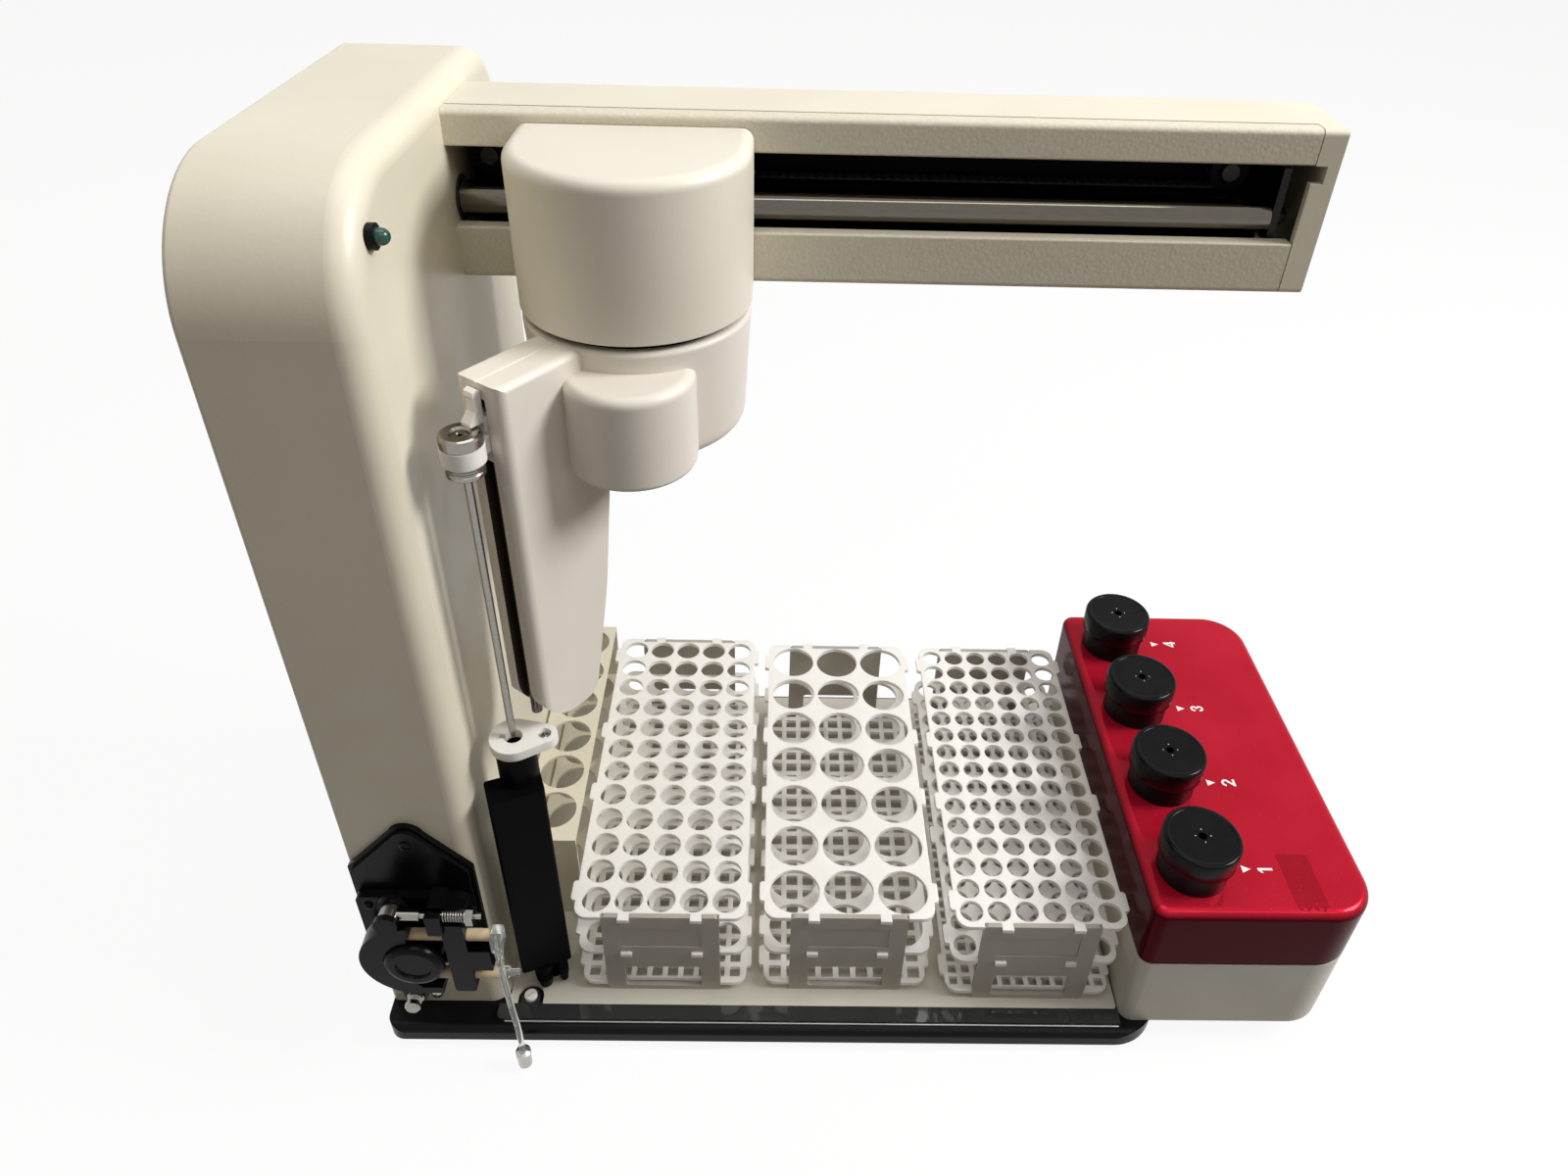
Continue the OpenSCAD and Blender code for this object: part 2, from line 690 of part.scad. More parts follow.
// two hose barbs under the rinse block
module rinse_barbs() {
  color(black) translate([rinse_x, rinse_y, deck_z + 26]) rotate([0, 0, rinse_turn]) {
    barb(-2, -4, 6.5);
    barb(9.5, -4.5, 4);
  }
}

cap_lean = atan2(2.6, 16.4);

// the outline of the rinse cap: a big and a small round joined by tangents
module rinse_outline(a, b) {
  d = 16.6;
  f = acos((a - b) / d);
  rotate([0, 0, cap_lean]) polygon(concat(
    [for (i = [0:32]) let (t = f + i * (360 - 2 * f) / 32) [a * cos(t), a * sin(t)]],
    [for (i = [0:12]) let (t = -f + i * f / 6) [d + b * cos(t), b * sin(t)]]
  ));
}

module rinse_cap() {
  color(white) translate([probe_x, probe_y, rinse_z1 - 6]) difference() {
    linear_extrude(6) rinse_outline(13, 7);
    translate([0, 0, -1]) cylinder(r = 5, h = 8);
    translate([-7.5, -1.6, -1]) cube([5, 3.2, 8]);
    rotate([0, 0, cap_lean]) translate([16.6, 0, 2.2]) cylinder(r = 3.6, h = 5);
  }
}

module rinse_screw() {
  color(steel) translate([probe_x, probe_y, rinse_z1 - 3.8]) rotate([0, 0, cap_lean])
    translate([16.6, 0, 0]) pan_screw(3.2, 3);
}

std_x0 = tower_x1 + 2;
std_y0 = front_y + 83;
std_n = floor((deck_y1 - std_y0 - 8) / 33);

// folded sheet rack for bottles of standards, beside the tower
module standards_rack() {
  color(cream) difference() {
    union() {
      box(std_x0, std_y0, rack_z1 - 2, std_x0 + 36, deck_y1, rack_z1);
      box(std_x0, std_y0, deck_z, std_x0 + 36, std_y0 + 2, rack_z1 - 1);
      box(std_x0, deck_y1 - 2, deck_z, std_x0 + 36, deck_y1, rack_z1 - 1);
      box(std_x0, std_y0 + 1, deck_z + 24, std_x0 + 36, deck_y1 - 1, deck_z + 26);
    }
    for (k = [0:std_n - 1]) bar_z(deck_z + 20, rack_z1 + 1, std_x0 + 18, std_y0 + 25 + 33 * k, tube_s / 2);
    bar_y(std_y0 - 1, std_y0 + 3, std_x0 + 18, rack_z1 - 14, 3);
  }
}

mid_z = deck_z + 38;
low_z = deck_z + 5;

// plan of a rack plate: side tabs, rounded corners and a notch for each end panel
module plate_outline(len) {
  difference() {
    union() {
      plan(-rack_w / 2, 0, rack_w / 2, len, 8, 8, 8, 8);
      for (y = [12, len * 0.36, len * 0.64 - 14, len - 26])
        plan(-rack_w / 2 - 3, y, rack_w / 2 + 3, y + 14, 2, 2, 2, 2);
    }
    translate([-36, -1]) square([72, 4]);
    translate([-36, len - 3]) square([72, 4]);
  }
}

// the snap barbs that pass through the end panels
module plate_barbs(len) {
  for (x = [-22, 22]) translate([x - 3.5, -2]) square([7, 6]);
  for (x = [-22, 22]) translate([x - 3.5, len - 4]) square([7, 6]);
}

// round holes for tubes, nx by ny, at pitch px by py, first row at y
module tube_holes(nx, ny, px, py, y, d) {
  for (i = [0:nx - 1]) for (j = [0:ny - 1]) translate([(i - (nx - 1) / 2) * px, y + j * py]) circle(d / 2);
}

// square drain holes, n by n under each tube, so that bars cross below the tube
module floor_holes(nx, ny, px, py, y, n, s) {
  for (i = [0:nx * n - 1]) for (j = [0:ny * n - 1])
    translate([(i - (nx * n - 1) / 2) * px / n, y + (j - (n - 1) / 2) * py / n]) square(s, center = true);
}

module rack_plates(cx, y0, len, nx, ny, px, py, y, d, n, s) {
  color(white) translate([cx, y0, 0]) {
    for (z = [mid_z, rack_z1 - plate_t]) translate([0, 0, z]) linear_extrude(plate_t) {
      difference() {
        plate_outline(len);
        tube_holes(nx, ny, px, py, y, d);
      }
      plate_barbs(len);
    }
    translate([0, 0, low_z]) linear_extrude(plate_t) difference() {
      plate_outline(len);
      floor_holes(nx, ny, px, py, y, n, s);
    }
  }
}

// the two end panels of a rack: window below, label panel above
module end_panels(cx, y0, len) {
  color([0.8, 0.8, 0.79]) translate([cx, y0, 0]) for (y = [0, len - 3]) difference() {
    along_y(y, y + 3) difference() {
      plan(-36, deck_z, 36, rack_z1, 2, 2, 3, 3);
      plan(-24, deck_z + 4, 24, deck_z + 25, 2, 2, 2, 2);
      for (x = [-22, 22]) {
        translate([x - 3.7, mid_z - 0.2]) square([7.4, plate_t + 0.4]);
        translate([x - 3.7, rack_z1 - plate_t - 0.2]) square([7.4, plate_t + 1]);
      }
    }
    box(-25, y > 0 ? y + 2.4 : -1, mid_z + plate_t + 5, 25, y > 0 ? y + 4 : 0.6, rack_z1 - 11);
  }
}

module rack_a_plates() {
  rack_plates(rack_a_x, rack_a_y, 251, 5, 12, 20, 20.5, 12.8, tube_a, 2, 6.6);
}
module rack_b_plates() {
  rack_plates(rack_b_x, rack_b_y, 245, 3, 7, 33.7, 34.5, 19, tube_b, 3, 7.6);
}
module rack_c_plates() {
  rack_plates(rack_c_x, rack_c_y, 249, 6, 15, 17.1, 16.2, 11.1, tube_c, 2, 5.4);
}

// the six end panels of the three racks
module rack_ends() {
  end_panels(rack_a_x, rack_a_y, 251);
  end_panels(rack_b_x, rack_b_y, 245);
  end_panels(rack_c_x, rack_c_y, 249);
}

// a box with rounded plan corners q and its top edge rolled by f
module rolled_box(x0, y0, x1, y1, z0, z1, q, f) {
  translate([0, 0, z0]) linear_extrude(z1 - z0 - f) plan(x0, y0, x1, y1, q[0], q[1], q[2], q[3]);
  translate([0, 0, z0]) linear_extrude(z1 - z0)
    plan(x0 + f, y0 + f, x1 - f, y1 - f, q[0] - f, q[1] - f, q[2] - f, q[3] - f);
  bar_x(x0 + q[0], x1 - q[1], y0 + f, z1 - f, f);
  bar_x(x0 + q[3], x1 - q[2], y1 - f, z1 - f, f);
  bar_y(y0 + q[0], y1 - q[3], x0 + f, z1 - f, f);
  bar_y(y0 + q[1], y1 - q[2], x1 - f, z1 - f, f);
  corner_roll(x0 + q[0], y0 + q[0], z1 - f, q[0], f, 180);
  corner_roll(x1 - q[1], y0 + q[1], z1 - f, q[1], f, 270);
  corner_roll(x1 - q[2], y1 - q[2], z1 - f, q[2], f, 0);
  corner_roll(x0 + q[3], y1 - q[3], z1 - f, q[3], f, 90);
}

module corner_roll(x, y, z, q, f, a) {
  translate([x, y, z]) rotate([0, 0, a]) rotate_extrude(angle = 90) intersection() {
    translate([q - f, 0]) circle(f);
    translate([0, -f]) square([q, 2 * f]);
  }
}

knobs_at = [for (k = [0:3]) knob_y0 + k * knob_pitch];

module pod_body() {
  color(cream) difference() {
    translate([0, 0, base_z]) linear_extrude(pod_body_h) plan(pod_x0, pod_y0, pod_x1, pod_y1, 8, 28, 28, 8);
    translate([0, 0, base_z + 4]) linear_extrude(pod_body_h)
      plan(pod_x0 + 4, pod_y0 + 4, pod_x1 - 4, pod_y1 - 4, 4, 24, 24, 4);
  }
}

module pod_gasket() {
  color([0.1, 0.1, 0.1]) translate([0, 0, gasket_z]) linear_extrude(2) difference() {
    plan(pod_x0 + 0.8, pod_y0 + 0.8, pod_x1 - 0.8, pod_y1 - 0.8, 7.2, 27.2, 27.2, 7.2);
    plan(pod_x0 + 4, pod_y0 + 4, pod_x1 - 4, pod_y1 - 4, 4, 24, 24, 4);
  }
}

module pod_lid() {
  color([0.62, 0.03, 0.07]) difference() {
    rolled_box(pod_x0, pod_y0, pod_x1, pod_y1, lid_z0, lid_z1, [8, 28, 28, 8], 6);
    translate([0, 0, lid_z0 - 1]) linear_extrude(pod_lid_h - 3)
      plan(pod_x0 + 4, pod_y0 + 4, pod_x1 - 4, pod_y1 - 4, 4, 24, 24, 4);
    for (y = knobs_at) bar_z(lid_z1 - 8, lid_z1 + 1, knob_x, y, 9);
  }
}

module knob_bushes() {
  color(steel) for (y = knobs_at) difference() {
    union() {
      bar_z(lid_z1 - 10, lid_z1, knob_x, y, 9);
      translate([knob_x, y, lid_z1 - 10]) cylinder(r = 13, h = 6, $fn = 6);
    }
    bar_z(lid_z1 - 11, lid_z1 + 1, knob_x, y, 4 + run_gap);
  }
}

// strokes of the plain numerals, drawn upright, 9 high
module digit(n) {
  if (n == 1) {
    translate([-0.8, 0]) square([1.6, 9]);
    polygon([[-0.8, 9], [-2.6, 7.4], [-2.6, 6], [-0.8, 7.2]]);
  }
  if (n == 2) {
    difference() {
      translate([0, 6.2]) circle(2.8);
      translate([0, 6.2]) circle(1.3);
      translate([-3, 3]) square([3, 3.2]);
    }
    polygon([[2.2, 4.5], [-1, 1], [-2.8, 0], [-2.8, 1.3], [1.1, 5.4]]);
    translate([-2.8, 0]) square([5.6, 1.5]);
  }
  if (n == 3) {
    for (y = [2.5, 6.5]) difference() {
      translate([0, y]) circle(2.5);
      translate([0, y]) circle(1.1);
      translate([-3, 3.1]) square([3, 2.8]);
    }
  }
  if (n == 4) {
    translate([0.6, 0]) square([1.6, 9]);
    translate([-3, 2]) square([6, 1.5]);
    polygon([[0.6, 9], [-3, 3.4], [-3, 2], [-1.4, 3.4], [0.6, 6.6]]);
  }
}

// triangles and plain numerals on the lid, read from the right hand side
module pod_marks() {
  color(white) for (k = [0:3])
    translate([knob_x + 32.5, knobs_at[k], lid_z1]) rotate([0, 0, 90]) linear_extrude(0.2) {
    polygon([[-3, 0], [3, 0], [0, 5]]);
    translate([0, -17]) digit(k + 1);
  }
}

module knob(y) {
  color(black) translate([knob_x, y, lid_z1]) difference() {
    rotate_extrude() polygon([
      [0, -14], [6, -14], [6, -10.4], [4, -10.4], [4, 0.4],
      [knob_d * 0.44, 0.4], [knob_d * 0.45, 1],
      [knob_d * 0.45, knob_h * 0.46], [knob_d * 0.42, knob_h * 0.48],
      [knob_d * 0.42, knob_h * 0.52], [knob_d * 0.49, knob_h * 0.54], [knob_d / 2, knob_h * 0.57],
      [knob_d / 2, knob_h * 0.93], [knob_d * 0.485, knob_h * 0.98], [knob_d * 0.46, knob_h],
      [knob_d * 0.44, knob_h], [knob_d * 0.43, knob_h - 0.5],
      [2.6, knob_h - 0.5], [2.6, knob_h - 6], [0, knob_h - 6]
    ]);
    for (a = [0:90:270]) rotate([0, 0, a]) translate([4.6, 0, knob_h - 2]) cylinder(r = 0.7, h = 3);
  }
}

module knob_1() {
  knob(knobs_at[0]);
}
module knob_2() {
  knob(knobs_at[1]);
}
module knob_3() {
  knob(knobs_at[2]);
}
module knob_4() {
  knob(knobs_at[3]);
}

// the house shape of the pump plate, set in by d
module house(d) {
  translate([pump_x, pump_z]) {
    polygon([
      [-36.5 + d, -40 + d], [33.5 - d, -40 + d], [33.5 - d, 50 - d * 0.4], [7, 81 - d * 1.2],
      [-7, 81 - d * 1.2], [-36.5 + d, 50 - d * 0.4]
    ]);
    translate([0, 74]) circle(10.5 - d);
  }
}

module pump_plate() {
  color(black) {
    along_y(tower_y0 - 3, tower_y0) house(0);
    along_y(tower_y0 - 5.5, tower_y0 - 3) house(2.5);
    translate([left_x + 37, tower_y0 - 5.5, base_z + 161]) rotate([90, 0, 0]) pan_screw(3, 1.6);
  }
}

module pump_bracket() {
  color(black) {
    along_y(tower_y0 - 11, tower_y0 - 5.5) {
      plan(pump_x - 33.5, pump_z - 30, pump_x + 30.5, pump_z + 33, 8, 4, 7, 3);
      translate([pivot_x, pivot_z]) circle(8);
      translate([pivot_x - 8, pivot_z]) square([16, 20]);
    }
    translate([pump_x - 27, tower_y0 - 11, pump_z + 26]) rotate([90, 0, 0]) pan_screw(2.6, 1.6);
  }
}

rod_y = pump_y - 1.5;

// motor nose, tube cartridge and the slotted lug that the clamp spring pushes on
module pump_head() {
  color(black) difference() {
    union() {
      bar_y(tower_y0 - 16, tower_y0 - 11, pump_x, pump_z, 24);
      bar_y(pump_y - 7.5, tower_y0 - 15, pump_x, pump_z, 3);
      along_y(pump_y - 5, tower_y0 - 11)
        plan(pump_x + 18.5, pump_z - 30, pump_x + 31, pump_z + 33, 2, 2, 2, 2);
      box(pump_x + 30, pump_y - 5, pump_z - 9, pump_x + 43, pump_y + 5, pump_z + 9);
      box(pump_x + 12, pump_y - 7, pump_z + 27, pump_x + 20.5, tower_y0 - 11, pump_z + 43);
    }
    for (s = [-1, 1]) bar_x(pump_x + 10, pump_x + 50, pump_y, pump_z + s * loop_r, hose_d / 2);
    box(pump_x + 11, rod_y - 2.3, post_z - 2.4, pump_x + 22, rod_y + 2.3, post_z + 9);
  }
}

module pump_tubing() {
  color([0.85, 0.72, 0.55]) difference() {
    hose(hose_d / 2, 0);
    hose(1.6, 1);
  }
}

// the tubing loop round the pump rotor, with its ends e longer
module hose(r, e) {
  for (s = [-1, 1]) bar_x(pump_x, pump_x + 45 + e, pump_y, pump_z + s * loop_r, r);
  translate([pump_x, pump_y, pump_z]) rotate([90, 0, 0]) rotate([0, 0, 90])
    rotate_extrude(angle = 180) translate([loop_r, 0]) circle(r);
}

module pump_connectors() {
  color([0.82, 0.86, 0.88, 0.5]) {
    difference() {
      union() {
        box(pump_x + 45, pump_y - 6.6, pump_z + loop_r - 8, pump_x + 51, pump_y + 3.6, pump_z + loop_r + 4.4);
        bar_z(pump_z + 2, pump_z + loop_r - 7, pump_x + 48, pump_y - 4, 2.6);
      }
      bar_z(pump_z + 1, pump_z + loop_r, pump_x + 48, pump_y - 4, 1);
    }
    bar_x(pump_x + 45, pump_x + 50, pump_y, pump_z - loop_r, 3.6);
    bar_x(pump_x + 49, pump_x + 56, pump_y, pump_z - loop_r, 2.2);
  }
}

module pump_rotor() {
  color(black) difference() {
    union() {
      translate([pump_x, pump_y - 10, pump_z]) rotate([-90, 0, 0]) rotate_extrude() polygon([
        [0, 1.2], [9.5, 1.2], [10.2, 0], [13.5, 0], [15.4, 0.5], [16.6, 1.6], [17, 3], [17, 4.7], [0, 4.7]
      ]);
      bar_y(pump_y + 4.2, pump_y + 7, pump_x, pump_z, 14);
      bar_y(pump_y - 5.5, pump_y + 5, pump_x, pump_z, 5.6);
      for (a = [45:90:315])
        bar_y(pump_y - 5.5, pump_y + 5, pump_x + 10 * cos(a), pump_z + 10 * sin(a), 3.8);
    }
    bar_y(pump_y - 8, pump_y + 8, pump_x, pump_z, 3 + run_gap);
  }
}

track_r = loop_r + hose_d / 2 + 0.6;

module pump_lever() {
  color(black) difference() {
    union() {
      along_y(pump_y - 6.5, pump_y + 5) {
        translate([pump_x, pump_z]) difference() {
          circle(31);
          circle(track_r);
          translate([0, -32]) square([33, 64]);
        }
        translate([pump_x - 1, pump_z - 30]) square([13, 5.4]);
      }
      along_y(pump_y - 6.5, pump_y - 5) translate([pump_x, pump_z]) difference() {
        circle(31);
        circle(17.6);
        translate([-1.5, -32]) square([33, 64]);
      }
      along_y(pump_y - 1, pump_y + 5) {
        translate([pivot_x, pivot_z]) circle(7);
        translate([pivot_x - 7, pivot_z]) square([14, 16]);
      }
      along_y(pump_y + 2.6, pump_y + 5) {
        translate([post_x, post_z]) circle(8);
        translate([post_x - 8, post_z - 12]) square([16, 12]);
      }
      bar_y(pump_y - 9, pump_y + 3, post_x, post_z, 3.5);
      bar_y(pump_y - 9, pump_y - 5.6, post_x, post_z, 6.5);
    }
    bar_y(pump_y - 2, pump_y + 6, pivot_x, pivot_z, 3 + run_gap);
  }
}

module pump_pivot() {
  color(steel) {
    bar_y(pump_y - 5, tower_y0 - 11, pivot_x, pivot_z, 3);
    translate([pivot_x, pump_y - 1.5, pivot_z]) rotate([90, 0, 0]) rotate_extrude() polygon([
      [0, 0], [5, 0], [5, 0.6], [3.4, 0.8], [4.2, 1.5], [3.4, 2.2],
      [4.2, 2.9], [3.4, 3.6], [4.2, 4.3], [3.4, 5],
      [4.6, 5.2], [4.6, 7], [3.6, 8.3], [0, 8.3]
    ]);
  }
}

// the clamp rod: an eye round the lever post, a barrel, a thread and a thumb nut
module pump_rod() {
  color(steel) difference() {
    union() {
      bar_y(pump_y - 5.2, pump_y + 2.2, post_x, post_z, 5.5);
      bar_x(post_x, post_x + 17, rod_y, post_z, 3);
      bar_x(post_x, pump_x + 42, rod_y, post_z, 1.7);
      bar_x(spring_x1, spring_x1 + 1, rod_y, post_z, 4);
      translate([spring_x1 + 1, rod_y, post_z]) rotate([0, 90, 0]) cylinder(r = 5.4, h = 4, $fn = 6);
    }
    bar_y(pump_y - 6, pump_y + 3, post_x, post_z, 3.5 + run_gap);
  }
}

// a coil along X as one unbroken tube: n turns of wire w, mean radius r
module coil(x0, x1, r, n, w) {
  steps = n * 10;
  ring = 6;
  pitch = (x1 - x0 - w) / n;
  rise = pitch / 360 / r * 57.29578;
  lean = atan(rise);
  points = [for (i = [0:steps]) let (a = i * 36, x = x0 + w / 2 + pitch * i / 10) for (k = [0:ring - 1])
    let (b = k * 60, u = w / 2 * cos(b), v = w / 2 * sin(b))
    [x + v * cos(lean), (r + u) * cos(a) + v * sin(lean) * sin(a),
      (r + u) * sin(a) - v * sin(lean) * cos(a)]];
  sides = [for (i = [0:steps - 1]) for (k = [0:ring - 1])
    let (m = (k + 1) % ring) [i * ring + k, (i + 1) * ring + k, (i + 1) * ring + m, i * ring + m]];
  ends = [[for (k = [0:ring - 1]) k], [for (k = [ring - 1:-1:0]) steps * ring + k]];
  polyhedron(points = points, faces = concat(sides, ends), convexity = 8);
}
spring_gap = (spring_x1 - spring_x0 - spring_wire) / spring_turns - spring_wire;
echo(least_gap_between_spring_turns_mm = spring_gap);

module pump_spring() {
  color(steel) translate([0, rod_y, post_z]) coil(spring_x0, spring_x1, 3.1, spring_turns, spring_wire);
}

// a smooth curve through the points p, n steps between two points
function knot(p, i) = p[max(0, min(len(p) - 1, i))];
function blend(a, b, c, d, t) =
  0.5 * (2 * b + (c - a) * t + (2 * a - 5 * b + 4 * c - d) * t * t + (3 * b - a - 3 * c + d) * t * t * t);
function curve(p, n) = concat(
  [for (i = [0:len(p) - 2]) for (j = [0:n - 1])
    blend(knot(p, i - 1), knot(p, i), knot(p, i + 1), knot(p, i + 2), j / n)],
  [p[len(p) - 1]]
);

// a round cord of radius r swept along the curve c, which runs mostly along Z
module cord(c, r) {
  ring = 8;
  last = len(c) - 1;
  points = [for (i = [0:last])
    let (t = c[min(last, i + 1)] - c[max(0, i - 1)], f = t / norm(t), g = cross(f, [1, 0, 0]))
    let (u = g / norm(g), v = cross(f, u))
    for (k = [0:ring - 1]) c[i] + r * (u * cos(k * 45) + v * sin(k * 45))];
  sides = [for (i = [0:last - 1]) for (k = [0:ring - 1])
    let (m = (k + 1) % ring) [i * ring + k, i * ring + m, (i + 1) * ring + m, (i + 1) * ring + k]];
  ends = [[for (k = [ring - 1:-1:0]) k], [for (k = [0:ring - 1]) last * ring + k]];
  polyhedron(points = points, faces = concat(sides, ends), convexity = 4);
}

drain_path = [
  [48, -4, 1.2], [48, -4.6, -5], [48.5, -7, -14], [49, -7.6, -24],
  [50, -8, -44], [51, -8, -64], [51, -8, -78], [51, -8, -86]
];

module drain_tube() {
  color([0.75, 0.78, 0.8, 0.5]) translate([pump_x, pump_y, pump_z]) cord(curve(drain_path, 3), drain_d / 2);
}

module drain_hub() {
  color([0.82, 0.86, 0.88, 0.5]) translate([pump_x + 51, pump_y - 8, pump_z - 86]) rotate_extrude()
    polygon([[0, 0], [2.6, 0], [2.6, -3], [4.6, -4.4], [4.6, -8], [0, -8]]);
}

// the clear hub and the metal end of the drain tube
module drain_fitting() {
  drain_hub();
  color(steel) translate([pump_x + 51, pump_y - 8, pump_z - 94]) rotate_extrude()
    polygon([[0, 0], [4.2, 0], [4.2, -9], [3.6, -9.8], [1.6, -9.8], [1.6, -5], [0, -5]]);
}

base_tray();
base_feet();
deck_plate();
clear_strip();
panel_screws();
tower_shell();
tower_side_panel();
led_bezel();
led_lens();
arm_beam();
arm_upper_cover();
arm_lower_cover();
arm_liner();
arm_end_cap();
guide_shaft();
shaft_bracket();
drive_belt();
drive_pulley();
idler_pulley();
carriage_cover();
carriage_block();
carriage_bushes();
rotor_housing();
rotor_spindle();
wing_front();
wing_back();
lift_rod();
z_slider();
probe_clamp();
probe();
rinse_tube();
rinse_block();
rinse_barbs();
rinse_cap();
standards_rack();
rack_a_plates();
rack_b_plates();
rack_c_plates();
rack_ends();
pod_body();
pod_gasket();
pod_lid();
knob_bushes();
pod_marks();
knob_1();
knob_2();
knob_3();
knob_4();
pump_plate();
pump_bracket();
pump_head();
pump_tubing();
pump_connectors();
pump_rotor();
pump_lever();
pump_pivot();
pump_rod();
pump_spring();
drain_tube();
drain_fitting();
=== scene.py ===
"""Looks of the bench autosampler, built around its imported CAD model. Lengths are metres, in the CAD frame."""

import math

import bpy
from mathutils import Matrix, Vector


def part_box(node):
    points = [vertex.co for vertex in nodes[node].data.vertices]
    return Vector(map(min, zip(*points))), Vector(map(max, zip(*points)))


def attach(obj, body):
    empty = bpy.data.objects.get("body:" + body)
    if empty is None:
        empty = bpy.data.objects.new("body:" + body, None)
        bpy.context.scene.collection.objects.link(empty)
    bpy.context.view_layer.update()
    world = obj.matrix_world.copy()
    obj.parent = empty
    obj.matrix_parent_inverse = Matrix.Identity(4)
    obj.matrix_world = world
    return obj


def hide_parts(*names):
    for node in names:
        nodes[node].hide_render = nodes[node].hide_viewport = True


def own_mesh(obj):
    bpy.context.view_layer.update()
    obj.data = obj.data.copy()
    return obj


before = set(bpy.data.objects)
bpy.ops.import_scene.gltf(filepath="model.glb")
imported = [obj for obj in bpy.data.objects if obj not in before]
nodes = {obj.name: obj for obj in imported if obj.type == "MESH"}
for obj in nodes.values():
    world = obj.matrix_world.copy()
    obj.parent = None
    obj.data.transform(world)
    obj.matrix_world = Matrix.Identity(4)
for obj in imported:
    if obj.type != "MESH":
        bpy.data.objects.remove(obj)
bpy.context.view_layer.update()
scene = bpy.context.scene
scene.view_settings.view_transform = "Standard"

MM = 0.001


def linear(code):
    """linear RGBA of an sRGB hex colour"""
    parts = [int(code[i : i + 2], 16) / 255 for i in (1, 3, 5)]
    return [c / 12.92 if c <= 0.04045 else ((c + 0.055) / 1.055) ** 2.4 for c in parts] + [1]


def put(tree, kind, settings):
    """adds a node: lower case keys are its settings, others its sockets, given a value or fed by a node"""
    made = tree.nodes.new(kind)
    for key, value in settings.items():
        if isinstance(value, bpy.types.Node):
            value = next(out for out in value.outputs if out.enabled)
        if isinstance(key, str) and key[0].islower():
            setattr(made, key, value)
        elif isinstance(value, bpy.types.NodeSocket):
            tree.links.new(value, made.inputs[key])
        else:
            made.inputs[key].default_value = value
    return made


# ---------------------------------------------------------------- camera

# solved from the racks' rows of holes
EYE = Vector((-0.0625, -0.5108, 0.6785))
RIGHT = Vector((0.9997, -0.0047, 0.0244))
UP = Vector((-0.0172, 0.5783, 0.8157))
BACK = Vector((-0.0179, -0.8158, 0.5781))

camera = bpy.data.objects.new("camera", bpy.data.cameras.new("camera"))
scene.collection.objects.link(camera)
camera.data.sensor_width = 36
camera.data.lens = 25.02
camera.data.shift_x = -0.0058
camera.data.shift_y = -0.0458
camera.data.clip_start = 0.01
camera.matrix_world = Matrix.Translation(EYE) @ Matrix((RIGHT, UP, BACK)).transposed().to_4x4()
scene.camera = camera

# ---------------------------------------------------------------- finishes

# the part of a noise's range that its values fill
SPAN = {"From Min": 0.3, "From Max": 0.7}
# the two colours of a mix node, whose inputs share their names with those for numbers
MIX_A, MIX_B = 6, 7

# the wing's frame: the rotor's axis, and the angle at which the wing rests
HEAD = Vector((-132.5, -2, 0)) * MM
HOME = math.radians(-126)
# the slider's groove in that frame: how far out its floor is, half its width, its middle and half its height
GROOVE_FLOOR, GROOVE_SIDE = 93.7 * MM, 4.55 * MM
GROOVE_MIDDLE, GROOVE_REACH = 342.5 * MM, 97.1 * MM


def finish(name):
    """a new material with its tree and its Object coordinates"""
    made = bpy.data.materials.new(name)
    made.use_nodes = True
    made.node_tree.nodes.clear()
    place = put(made.node_tree, "ShaderNodeTexCoord", {}).outputs["Object"]
    return made, made.node_tree, place


def cream_paint(name, dark, light):
    """Two part enamel sprayed on moulded ABS: warm and satin, with a soft orange peel 3 mm across."""
    made, tree, place = finish(name)
    peel = put(tree, "ShaderNodeTexNoise", {"Vector": place, "Scale": 1 / (3 * MM), "Detail": 1})
    cloud = put(tree, "ShaderNodeTexNoise", {"Vector": place, "Scale": 1 / (90 * MM)})
    rubbed = put(tree, "ShaderNodeTexNoise", {"Vector": place, "Scale": 1 / (30 * MM)})
    patch = put(tree, "ShaderNodeMapRange", {"Value": cloud, **SPAN})
    paint = put(tree, "ShaderNodeBsdfPrincipled", {
        "Base Color": put(tree, "ShaderNodeMix", {
            "data_type": "RGBA", "Factor": patch, MIX_A: linear(dark), MIX_B: linear(light)}),
        "Roughness": put(tree, "ShaderNodeMapRange", {
            "Value": rubbed, **SPAN, "To Min": 0.36, "To Max": 0.46}),
        "Normal": put(tree, "ShaderNodeBump", {"Height": peel, "Distance": 0.12 * MM, "Strength": 0.5}),
        "IOR": 1.5,
    })
    put(tree, "ShaderNodeOutputMaterial", {"Surface": paint})
    return made


